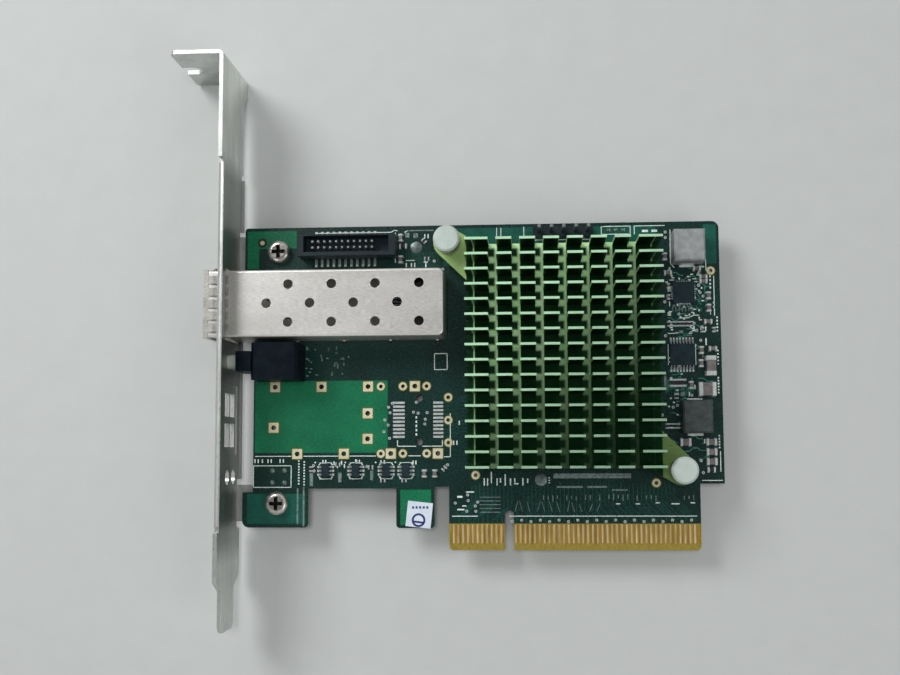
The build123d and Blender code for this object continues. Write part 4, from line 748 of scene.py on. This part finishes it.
def bentRuns(bm, rng, low, high):
    run = copper["bent"]
    bend = run["bend"]
    for n in range(run["count"]):
        x = run["left"] + rng.random() * run["scatter"]
        y = run["low"] + n * run["step"]
        reach = run["shortest"] + rng.random() * run["longer"]
        rise = rng.choice((-bend, bend))
        points = [(x, y), (x + reach / 2, y), (x + reach / 2 + bend, y + rise), (x + reach + bend, y + rise)]
        path(bm, points, copper["trackWidth"], low, high)


def uprightRuns(bm, rng, low, high):
    run = copper["upright"]
    for n in range(run["count"]):
        x = run["left"] + n * run["step"]
        y = run["low"] + rng.random() * run["scatter"]
        upper = y + run["above"] + rng.random()
        strip(bm, (x, y - run["below"]), (x, upper), run["width"], low, high)


def slantedRuns(bm, rng, low, high):
    run = copper["slanted"]
    for n in range(run["count"]):
        x = run["left"] + rng.random() * run["scatter"]
        y = run["low"] + n * run["step"]
        strip(bm, (x, y), (x + rng.choice(run["leans"]), y + run["rise"]), run["width"], low, high)


def thinTracks():
    bm = bmesh.new()
    rng = random.Random(copper["seed"])
    for low, high in bothFaces(copper["trackRise"]):
        bentRuns(bm, rng, low, high)
        uprightRuns(bm, rng, low, high)
        slantedRuns(bm, rng, low, high)
    return addPiece(bm, "thin_tracks", "mask_over_thin")


copperPours(copper["pours"], "copper_pours", "mask_over_copper")
copperPours(copper["edgePours"], "edge_pours", "mask_over_edges")
tracks()
thinTracks()
print("stage: copper laid under the mask")


# Vias, and the bare rims of the plated holes

vias = {
    "outer": 0.62,
    "hole": 0.26,
    "rise": 0.03,
    "holeRise": 0.035,
    "bright": (
        (33.5, 66.7), (33.5, 65.5), (33.1, 51.8), (33.1, 44.6), (36.6, 59.4), (40.5, 53.7), (41.9, 53.6),
        (42.0, 52.5), (39.1, 47.2), (39.6, 45.7), (38.4, 45.2), (38.3, 32.1), (32.1, 28.0), (34.4, 29.6),
        (35.3, 30.0), (40.4, 43.6), (40.3, 16.0), (39.9, 18.5), (41.1, 52.9), (40.2, 55.2), (36.0, 49.2),
        (-8.7, 11.5), (-8.6, 10.3), (-8.9, 8.1), (-7.0, 8.1), (-7.1, 9.2), (-6.6, 10.0), (-11.3, 9.8),
        (-25.1, 28.8), (-25.5, 26.2), (-26.2, 27.3), (-24.6, 30.8), (-25.4, 30.0), (-26.4, 24.8),
        (-25.2, 23.4), (-20.1, 28.9), (-19.1, 28.7), (-17.2, 28.8), (-17.6, 27.4), (-17.7, 26.4),
        (-19.5, 31.0), (-41.4, 17.7), (-41.3, 16.6), (-30.0, 17.5), (-13.8, 59.4), (-15.6, 61.2),
        (-26.9, 14.7), (-12.9, 17.8),
    ),
    "tabRow": {"left": 0.6, "low": 5.95, "step": 1.95, "count": 20, "zigzag": 0.3},
}


def viaSpots():
    tin = bmesh.new()
    dark = bmesh.new()
    rise = vias["rise"]
    holeRise = vias["holeRise"]
    row = vias["tabRow"]
    spots = list(vias["bright"])
    for n in range(row["count"]):
        spots.append((row["left"] + n * row["step"], row["low"] + row["zigzag"] * (n % 2)))
    for x, y in spots:
        disc(tin, x, y, vias["outer"], boardTop, boardTop + rise, 12)
        # painted shade: a dark disc stands for the shade down each via's hole, on both faces
        disc(dark, x, y, vias["hole"], boardTop + rise, boardTop + holeRise, 8)
        disc(tin, x, y, vias["outer"], boardBottom - rise, boardBottom, 12)
        disc(dark, x, y, vias["hole"], boardBottom - holeRise, boardBottom - rise, 8)
    addPiece(tin, "via_rings", "solder_tin")
    addPiece(dark, "via_hole_shade", "hole_dark")


rims = {"width": 0.18, "overlap": 0.05, "largestRound": 0.95, "rise": 0.02}


def padRims():
    bm = bmesh.new()
    top = boardTop + rims["rise"]
    width = rims["width"]
    for part in looseParts("plated_pads"):
        centre, low, high = middleOf(part)
        if centre.z < 0:
            continue
        half = (high.x - low.x) / 2
        if half < rims["largestRound"]:
            ring(bm, centre.x, centre.y, 2 * (half + width), 2 * (half - rims["overlap"]), boardTop, top)
        else:
            side = half + width / 2
            corners = [(-side, -side), (side, -side), (side, side), (-side, side), (-side, -side)]
            around = [(centre.x + x, centre.y + y) for x, y in corners]
            path(bm, around, width, boardTop, top)
            disc(bm, *around[0], width, boardTop, top, 8)
    return addPiece(bm, "pad_rims", "bare_rim")


viaSpots()
padRims()
print("stage: vias and rims set")


# Printed lines, frames and bars on the component face

silk = {
    "base": 0.013,
    "top": 0.028,
    "line": 0.17,
    "frames": (                                  # low corner, high corner
        ((-54.3, 13.15), (-46.2, 17.7)),
        ((20.05, 66.4), (26.16, 68.1)),
        ((-15.6, 37.9), (-12.9, 41.3)),
    ),
    "lines": (
        ((-54.0, 19.7), (-46.2, 19.7)), ((-43.6, 19.7), (-36.1, 19.7)), ((-33.7, 19.7), (-28.1, 19.7)),
        ((-21.2, 19.7), (-18.6, 19.7)), ((-12.3, 19.5), (-12.3, 28.6)), ((-13.6, 19.5), (-12.3, 19.5)),
        ((-23.5, 21.72), (-19.55, 21.72)), ((-18.24, 21.72), (-13.98, 21.72)),
        ((-23.5, 21.72), (-23.5, 23.0)), ((-13.98, 21.72), (-13.98, 23.0)),
        ((-41.0, 67.6), (-24.9, 67.6)), ((-24.9, 67.6), (-24.2, 68.0)), ((-24.2, 68.0), (-23.5, 67.9)),
        ((-23.95, 61.0), (-23.95, 67.5)), ((-22.0, 67.5), (-21.4, 67.85)),
        ((0.0, 7.08), (38.8, 7.08)), ((-12.0, 7.08), (-6.6, 7.08)),
        ((34.45, 60.0), (34.5, 67.2)), ((34.4, 60.0), (35.2, 59.1)), ((41.85, 58.4), (41.8, 60.7)),
        ((43.4, 48.8), (43.4, 57.2)), ((42.55, 49.0), (42.55, 51.2)),
        ((34.1, 56.4), (35.2, 56.4)), ((39.0, 56.6), (39.8, 56.6)), ((34.1, 50.8), (34.1, 51.9)),
        ((-2.2, 66.2), (-2.2, 68.2)), ((-1.3, 66.2), (-1.3, 68.2)), ((3.6, 65.4), (3.6, 68.3)),
        ((27.0, 66.3), (27.0, 68.1)), ((27.0, 68.1), (33.4, 68.1)),
        ((20.2, 65.4), (20.2, 66.3)), ((3.6, 65.4), (20.2, 65.4)),
        ((36.0, 48.35), (38.0, 48.35)), ((38.0, 48.35), (39.0, 48.9)), ((39.0, 48.9), (40.2, 48.9)),
        ((33.6, 45.1), (35.3, 45.1)), ((37.9, 45.0), (38.5, 45.0)), ((-21.7, 61.4), (-19.8, 61.4)),
        ((39.3, 56.0), (40.1, 56.0)), ((43.9, 16.2), (43.9, 20.4)), ((40.0, 14.4), (44.2, 14.4)),
    ),
    "dashWidth": 0.32,
    "dashes": (                                  # first place, upward step, count, length of each
        ((-44.55, 13.9), 0.6, 9, 0.32), ((-43.4, 13.7), 0.6, 9, 0.32), ((-22.2, 15.6), 0.5, 5, 0.25),
        ((42.65, 54.7), 0.8, 4, 0.4), ((43.85, 32.6), 0.62, 6, 0.34), ((43.75, 21.2), 0.6, 5, 0.34),
        ((43.9, 45.6), 0.7, 5, 0.36), ((43.9, 38.6), 0.7, 5, 0.3), ((43.3, 50.6), 0.9, 2, 0.4),
        ((-19.5, 24.2), 0.9, 5, 0.5), ((8.4, 14.0), 0.5, 3, 0.2),
    ),
    "uprightWidth": 0.26,
    "uprights": (                                # length, then the places
        (0.8, (
            (-54.0, 18.7), (-53.3, 18.7), (-52.4, 18.7), (-51.2, 18.7), (-50.5, 18.7), (-48.6, 18.7),
            (-47.9, 18.7), (-39.4, 18.5), (-38.8, 18.5), (-37.0, 18.2), (-36.3, 17.6), (-35.4, 18.3),
            (-34.8, 17.6), (-32.2, 18.5), (-31.6, 18.5), (-27.0, 18.4), (-26.3, 18.4), (-20.2, 18.3),
            (-19.6, 18.3),
        )),
        (1.5, ((-5.2, 14.2), (-4.5, 14.2), (-2.5, 14.2), (0.3, 14.2), (2.9, 14.2), (41.5, 43.3))),
        (2.4, ((-3.7, 15.1), (-0.8, 14.6))),
        (0.9, (
            (-21.6, 60.4), (-20.5, 60.4), (-19.8, 60.4), (-17.6, 66.6), (-16.9, 66.6), (-17.4, 60.3),
            (-1.8, 14.5), (1.2, 14.5), (3.9, 14.4), (37.8, 32.3), (40.5, 46.2), (39.1, 46.2),
            (41.5, 46.0), (40.7, 22.5), (39.0, 33.8), (38.4, 46.6), (-11.6, 22.4), (-10.9, 22.4),
            (-10.4, 26.6), (-32.4, 18.6),
        )),
    ),
    "levelWidth": 0.24,
    "levels": (
        (0.9, ((22.6, 9.6), (26.7, 9.6), (30.8, 9.8), (38.0, 9.8), (-17.4, 61.0), (1.5, 13.8), (-9.4, 9.2))),
        (1.7, ((34.4, 9.6), (-8.2, 12.1))),
        (0.7, ((34.1, 54.9), (34.1, 54.5), (34.1, 54.1), (40.2, 57.4), (34.0, 49.4), (34.0, 49.0))),
    ),
    "bars": (                                    # wide filled marks
        ((21.3, 66.95), (21.9, 67.55)), ((22.75, 66.95), (23.4, 67.55)), ((24.3, 66.95), (25.0, 67.55)),
        ((28.6, 66.75), (29.9, 67.25)), ((30.6, 66.75), (31.8, 67.25)),
        ((-10.9, 10.9), (-9.8, 11.3)), ((-10.9, 8.3), (-9.4, 8.6)),
    ),
}

inkLow = boardTop + silk["base"]
inkHigh = boardTop + silk["top"]


def mark(bm, x, y, wide, tall):
    block(bm, (x - wide / 2, y - tall / 2, inkLow), (x + wide / 2, y + tall / 2, inkHigh))


def stroke(bm, start, end, width):
    strip(bm, start, end, width, inkLow, inkHigh)


def silkscreen():
    bm = bmesh.new()
    for (left, lower), (right, upper) in silk["frames"]:
        corners = [(left, lower), (right, lower), (right, upper), (left, upper), (left, lower)]
        path(bm, corners, silk["line"], inkLow, inkHigh)
    for start, end in silk["lines"]:
        stroke(bm, start, end, silk["line"])
    for (x, y), step, count, length in silk["dashes"]:
        for n in range(count):
            mark(bm, x, y + n * step, silk["dashWidth"], length)
    for length, places in silk["uprights"]:
        for x, y in places:
            mark(bm, x, y, silk["uprightWidth"], length)
    for length, places in silk["levels"]:
        for x, y in places:
            mark(bm, x, y, length, silk["levelWidth"])
    for low, high in silk["bars"]:
        block(bm, (*low, inkLow), (*high, inkHigh))
    return addPiece(bm, "printed_lines", "marking_ink")


column = {                                       # small marks right of the heat sink
    "seed": 13,
    "crowded": {
        "left": 33.2, "scatter": 8.8, "low": 45.2, "step": 0.225, "count": 64,
        "sizes": ((0.42, 0.3), (0.3, 0.42), (0.62, 0.22)),
    },
    "sparse": {"left": 33.4, "scatter": 3.6, "low": 27.2, "step": 0.85, "count": 16, "size": (0.4, 0.3)},
}


def columnMarks():
    bm = bmesh.new()
    rng = random.Random(column["seed"])
    crowd = column["crowded"]
    for n in range(crowd["count"]):
        x = crowd["left"] + rng.random() * crowd["scatter"]
        mark(bm, x, crowd["low"] + n * crowd["step"], *rng.choice(crowd["sizes"]))
    few = column["sparse"]
    for n in range(few["count"]):
        x = few["left"] + rng.random() * few["scatter"]
        mark(bm, x, few["low"] + n * few["step"], *few["size"])
    return addPiece(bm, "column_marks", "marking_ink")


faded = {
    "seed": 11,
    "bars": (
        ((9.3, 14.9), (25.4, 15.9)), ((-42.2, 13.4), (-41.5, 16.2)), ((-36.1, 14.2), (-35.4, 16.2)),
        ((-29.3, 14.6), (-28.7, 16.6)), ((-44.95, 5.4), (-44.6, 13.0)), ((-43.65, 5.0), (-43.3, 13.2)),
        ((-21.4, 67.75), (-15.7, 68.0)), ((-21.85, 66.4), (-20.95, 67.4)), ((-20.1, 66.3), (-19.1, 67.3)),
        ((34.7, 31.9), (35.5, 32.7)), ((36.0, 31.9), (37.0, 32.8)), ((35.9, 45.2), (36.8, 45.7)),
        ((32.6, 34.0), (33.1, 36.2)), ((10.0, 12.9), (15.4, 13.3)), ((16.2, 12.9), (20.4, 13.3)),
        ((21.4, 12.3), (24.6, 12.6)), ((40.6, 39.9), (40.9, 41.6)),
    ),
    "row": {                                     # short uprights over the contacts, some of them worn away
        "left": 6.2, "step": 0.97, "count": 34, "middle": 10.9, "scatter": 0.5,
        "shortest": 0.6, "longer": 0.8, "share": 0.75, "width": 0.2,
    },
    "slants": {"left": 1.2, "step": 1.55, "count": 12, "low": 8.0, "high": 9.4, "lean": 0.6, "width": 0.11},
    "levels": {"left": -6.2, "right": -1.8, "low": 7.9, "step": 0.78, "count": 5, "width": 0.14},
    "ticks": {                                   # scattered behind the lamps
        "left": -43.2, "wide": 9.4, "low": 36.7, "tall": 6.2, "count": 30,
        "sizes": ((0.24, 0.7), (0.5, 0.24), (0.3, 0.3)),
    },
    "branches": {                                # Y shapes under the square regulator
        "left": 34.7, "step": 0.68, "count": 7, "low": 49.7, "fork": 50.5, "high": 51.2,
        "lean": 0.3, "width": 0.2,
    },
}


def fadedRow(bm, rng):
    row = faded["row"]
    for n in range(row["count"]):
        length = row["shortest"] + rng.random() * row["longer"]
        y = row["middle"] + (rng.random() - 0.5) * row["scatter"]
        if rng.random() < row["share"]:
            mark(bm, row["left"] + n * row["step"], y, row["width"], length)


def fadedSlants(bm, rng):
    slants = faded["slants"]
    for n in range(slants["count"]):
        x = slants["left"] + n * slants["step"]
        lean = rng.choice((-slants["lean"], slants["lean"]))
        stroke(bm, (x, slants["low"]), (x + lean, slants["high"] + rng.random()), slants["width"])
    levels = faded["levels"]
    for n in range(levels["count"]):
        y = levels["low"] + n * levels["step"]
        stroke(bm, (levels["left"], y), (levels["right"], y), levels["width"])


def fadedTicks(bm, rng):
    ticks = faded["ticks"]
    for _ in range(ticks["count"]):
        x = ticks["left"] + rng.random() * ticks["wide"]
        y = ticks["low"] + rng.random() * ticks["tall"]
        mark(bm, x, y, *rng.choice(ticks["sizes"]))


def fadedBranches(bm, rng):
    branch = faded["branches"]
    lean = branch["lean"]
    for n in range(branch["count"]):
        x = branch["left"] + n * branch["step"]
        fork = (x, branch["fork"])
        stroke(bm, fork, (x, branch["low"]), branch["width"])
        stroke(bm, fork, (x + rng.choice((-lean, lean)), branch["high"]), branch["width"])


def fadedMarks():
    bm = bmesh.new()
    for low, high in faded["bars"]:
        block(bm, (*low, inkLow), (*high, inkHigh))
    rng = random.Random(faded["seed"])
    fadedRow(bm, rng)
    fadedSlants(bm, rng)
    fadedTicks(bm, rng)
    fadedBranches(bm, rng)
    return addPiece(bm, "faded_marks", "faded_ink")


aim = {"place": (-52.9, 65.67), "clearing": 2.0, "dot": 1.0, "clearingRise": 0.018, "dotRise": 0.04}


def aimingDot():
    tin = bmesh.new()
    dark = bmesh.new()
    middle = boardTop + aim["clearingRise"]
    disc(dark, *aim["place"], aim["clearing"], boardTop, middle, 28)
    disc(tin, *aim["place"], aim["dot"], middle, boardTop + aim["dotRise"], 20)
    addPiece(tin, "aiming_dots", "pad_gold")
    addPiece(dark, "aiming_clearings", "hole_dark")


outlines = {
    "gap": 0.45, "overhang": 0.6, "line": 0.14,                      # lines along the six-lead chips
    "dotOut": 1.5, "dotUp": 0.5, "dot": 0.35,
    "cornerOut": 0.5, "cornerUp": 0.2, "tick": 0.25, "tickWidth": 0.2,
    "bufferGap": 0.35, "bufferLine": 0.15,
}


def chipOutline(bm, part):
    centre, lower, upper = middleOf(part)
    over = outlines["overhang"]
    tick = outlines["tick"]
    for y in (lower.y - outlines["gap"], upper.y + outlines["gap"]):
        stroke(bm, (lower.x - over, y), (upper.x + over, y), outlines["line"])
    dotX = lower.x - outlines["dotOut"]
    disc(bm, dotX, upper.y + outlines["dotUp"], outlines["dot"], inkLow, inkHigh, 10)
    for sideways in (-1, 1):
        for upwards in (-1, 1):
            x = centre.x + sideways * ((upper.x - lower.x) / 2 + outlines["cornerOut"])
            y = centre.y + upwards * ((upper.y - lower.y) / 2 + outlines["cornerUp"])
            start = (x - sideways * tick, y + upwards * tick)
            end = (x + sideways * tick, y - upwards * tick)
            stroke(bm, start, end, outlines["tickWidth"])


def chipOutlines():
    bm = bmesh.new()
    for part in looseParts("small_chips"):
        chipOutline(bm, part)
    lower, upper = middleOf(looseParts("buffer_chip")[0])[1:]
    for x in (lower.x - outlines["bufferGap"], upper.x + outlines["bufferGap"]):
        stroke(bm, (x, lower.y), (x, upper.y), outlines["bufferLine"])
    return addPiece(bm, "chip_outlines", "marking_ink")


silkscreen()
fadedMarks()
columnMarks()
aimingDot()
chipOutlines()
print("stage: printing done")


# Solder round the feet of the small parts

solder = {
    "spread": 0.22, "lean": 0.03, "climb": 0.55,                     # skirts round the end caps
    "endways": 0.3, "sideways": 0.35, "thick": 0.12, "round": 0.05,  # flat beds under the coils' terminals
}


def solderSkirts():
    bm = bmesh.new()
    for node in ("capacitor_ends", "resistor_ends"):
        for part in looseParts(node):
            centre, low, high = middleOf(part)
            height = (high.z - low.z) * solder["climb"]
            foot = []
            for point in part:
                if point.z < centre.z:
                    away = Vector((point.x - centre.x, point.y - centre.y, 0)).normalized()
                    spot = Vector((point.x, point.y, boardTop))
                    foot.append(spot + away * solder["spread"])
                    foot.append(spot + away * solder["lean"] + Vector((0, 0, height)))
            verts = [bm.verts.new(place * mm) for place in foot]
            bmesh.ops.convex_hull(bm, input=verts)
    return addPiece(bm, "solder_skirts", "solder_tin")


def terminalSolder():
    bm = bmesh.new()
    out = Vector((solder["endways"], solder["sideways"]))
    for part in looseParts("inductor_terminals"):
        low, high = middleOf(part)[1:]
        block(bm, (*(low.xy - out), boardTop), (*(high.xy + out), boardTop + solder["thick"]))
    bmesh.ops.bevel(
        bm, geom=bm.edges[:], offset=solder["round"] * mm, segments=2, profile=0.5,
        affect="EDGES", material=-1,
    )
    return addPiece(bm, "terminal_solder", "solder_tin")


solderSkirts()
terminalSolder()
print("stage: solder run")


# Marks and small features on the parts

dots = {
    "rise": 0.004,
    "chips": (                                   # inset from the corner, diameter
        ("buffer_chip", 0.8, 0.55), ("regulator_chip", 0.7, 0.5), ("small_chips", 0.35, 0.26),
    ),
}


def pinOneMarks():
    bm = bmesh.new()
    for node, inset, diameter in dots["chips"]:
        for part in looseParts(node):
            low, high = middleOf(part)[1:]
            disc(bm, low.x + inset, high.y - inset, diameter, high.z, high.z + dots["rise"], 16)
    return addPiece(bm, "pin_one_marks", "hole_dark")


sticker = {                                      # from the middle of the paper
    "rise": 0.01, "turn": -6,
    "ring": (-0.15, -1.15), "outer": 2.9, "inner": 2.0,
    "bar": ((-1.35, -1.75), (1.05, -1.35)),
    "squares": ((-1.5, 1.25), (-1.08, 1.75)), "step": 0.75, "count": 5,
}


def stickerMark():
    bm = bmesh.new()
    centre, _, high = middleOf(looseParts("inspection_sticker")[0])
    x, y, top = centre.x, centre.y, high.z
    upper = top + sticker["rise"]
    across, up = sticker["ring"]
    ring(bm, x + across, y + up, sticker["outer"], sticker["inner"], top, upper, 28)
    boxes = [(0, sticker["bar"])]
    boxes += [(n * sticker["step"], sticker["squares"]) for n in range(sticker["count"])]
    for along, ((left, below), (right, above)) in boxes:
        corner = (x + along + left, y + below, top)
        block(bm, corner, (x + along + right, y + above, upper), sticker["turn"])
    return addPiece(bm, "sticker_mark", "stamp_ink")


thread = {
    "pitch": 0.5, "shank": 1.5, "sunk": 0.02, "crest": 0.048, "wide": 0.35,
    "turns": 3, "start": 0.15, "steps": 24,
}


def screwThreads():
    bm = bmesh.new()
    inner = thread["shank"] - thread["sunk"]
    outer = thread["shank"] + thread["crest"]
    for part in looseParts("bracket_screws"):
        centre, low = middleOf(part)[:2]
        start = low.z + thread["start"]
        corners = ((inner, start), (outer, start + thread["wide"] / 2), (inner, start + thread["wide"]))
        profile = [bm.verts.new(Vector((centre.x + reach, centre.y, z)) * mm) for reach, z in corners]
        edges = [bm.edges.new(pair) for pair in zip(profile, profile[1:] + profile[:1])]
        bmesh.ops.spin(
            bm, geom=edges, cent=(centre.x * mm, centre.y * mm, 0), axis=(0, 0, 1),
            dvec=(0, 0, thread["pitch"] * mm / thread["steps"]), angle=math.tau * thread["turns"],
            steps=thread["steps"] * thread["turns"], use_duplicate=False,
        )
    bmesh.ops.recalc_face_normals(bm, faces=bm.faces)
    ends = [edge for edge in bm.edges if edge.is_boundary]
    bmesh.ops.holes_fill(bm, edges=ends)
    return addPiece(bm, "screw_threads", "screw_steel")


pinOneMarks()
stickerMark()
screwThreads()
print("stage: marks and threads added")


# Floor, light and camera

stage = {
    "floorColour": (0.49, 0.51, 0.50),
    "floorShade": 0.97,
    "floorPatch": 6.0,
    "floorRough": 0.7,
    "floorSize": 3000,
    "floorGap": 0.02,
    "sky": ((0.0, 0.62), (0.35, 0.8), (0.82, 1.0), (0.93, 0.55), (0.985, 0.1)),      # height, brightness
    "diffuseSky": 0.4,
    "mirroredSky": 0.72,
    "backdrop": 0.5,
    "backdropColour": (0.98, 0.99, 1.0, 1),
    "middle": (0, 0.04, 0),                      # of the card, in metres like the lamps' places
}

lamps = {
    "key": {"place": (-0.34, 0.36, 0.44), "size": 0.28, "power": 2.3, "mirrored": True},
    "fill": {"place": (0.6, -0.3, 0.7), "size": 0.5, "power": 1.3, "mirrored": True},
    "overhead": {"place": (0.0, 0.06, 0.6), "size": 0.12, "power": 1.1, "mirrored": False},
}


def floor():
    bm = bmesh.new()
    size = stage["floorSize"] / 2 * mm
    level = cadBox[0][2] - stage["floorGap"] * mm
    place = Matrix.Translation((*stage["middle"][:2], level))
    bmesh.ops.create_grid(bm, x_segments=2, y_segments=2, size=size, matrix=place)
    material, tree, shader = startMaterial("pale_floor")
    grain = noiseValue(tree, objectPlace(tree), stage["floorPatch"], 3)
    low = tuple(value * stage["floorShade"] for value in stage["floorColour"])
    tree.links.new(twoTone(tree, grain, (low, stage["floorColour"])), shader.inputs["Base Color"])
    shader.inputs["Roughness"].default_value = stage["floorRough"]
    mesh = bpy.data.meshes.new("floor")
    bm.to_mesh(mesh)
    bm.free()
    mesh.materials.append(material)
    piece = bpy.data.objects.new("floor", mesh)
    scene.collection.objects.link(piece)


def background(tree, strength):
    light = tree.nodes.new("ShaderNodeBackground")
    light.inputs["Strength"].default_value = strength
    return light


def mixedLight(tree, share, first, second):
    mix = tree.nodes.new("ShaderNodeMixShader")
    for socket, value in zip(mix.inputs, (share, first, second)):
        tree.links.new(value, socket)
    return mix.outputs["Shader"]


def sky():
    world = bpy.data.worlds.new("studio")
    scene.world = world
    world.use_nodes = True
    tree = world.node_tree
    tree.nodes.clear()
    output = tree.nodes.new("ShaderNodeOutputWorld")
    stops = [(height, (bright, bright, bright)) for height, bright in stage["sky"]]
    level = rampColour(tree, axisValue(tree, "Z", "Generated"), stops)   # dim overhead, as over a camera
    plain = background(tree, stage["diffuseSky"])
    mirrored = background(tree, stage["mirroredSky"])
    for light in (plain, mirrored):
        tree.links.new(level, light.inputs["Color"])
    shown = background(tree, stage["backdrop"])
    shown.inputs["Color"].default_value = stage["backdropColour"]
    rays = tree.nodes.new("ShaderNodeLightPath")
    clear = mathNode(tree, "MAXIMUM", rays.outputs["Is Glossy Ray"], rays.outputs["Is Transmission Ray"])
    seen = mixedLight(tree, clear, plain.outputs["Background"], mirrored.outputs["Background"])
    mixed = mixedLight(tree, rays.outputs["Is Camera Ray"], seen, shown.outputs["Background"])
    tree.links.new(mixed, output.inputs["Surface"])


def softLamp(name, look):
    data = bpy.data.lights.new(name, "AREA")
    data.shape = "DISK"
    data.size = look["size"]
    data.energy = look["power"]
    lamp = bpy.data.objects.new(name, data)
    scene.collection.objects.link(lamp)
    lamp.location = look["place"]
    lamp.visible_glossy = look["mirrored"]
    gaze = Vector(stage["middle"]) - Vector(look["place"])
    lamp.rotation_euler = gaze.to_track_quat("-Z", "Y").to_euler()


def camera():
    view = {
        "eye": (4.7, 20.5, 254.285),       # where the photograph was taken from, in millimetres
        "aim": (-12.2, 44.6, 2.0),
        "roll": -0.23,
        "lens": 48.0,
        "sensor": 36.0,
        "nearest": 10,
    }
    data = bpy.data.cameras.new("camera")
    data.lens = view["lens"]
    data.sensor_width = view["sensor"]
    data.clip_start = view["nearest"] * mm
    shooter = bpy.data.objects.new("camera", data)
    scene.collection.objects.link(shooter)
    eye = Vector(view["eye"]) * mm
    gaze = Vector(view["aim"]) * mm - eye
    side = gaze.cross(Vector((0, 1, 0))).normalized()
    up = side.cross(gaze).normalized()
    turn = Matrix((side, up, -gaze.normalized())).transposed()
    shooter.location = eye
    shooter.rotation_euler = (turn @ Matrix.Rotation(math.radians(view["roll"]), 3, "Z")).to_euler()
    scene.camera = shooter


floor()
sky()
for name, look in lamps.items():
    softLamp(name, look)
camera()
print("stage: floor, light and camera set")
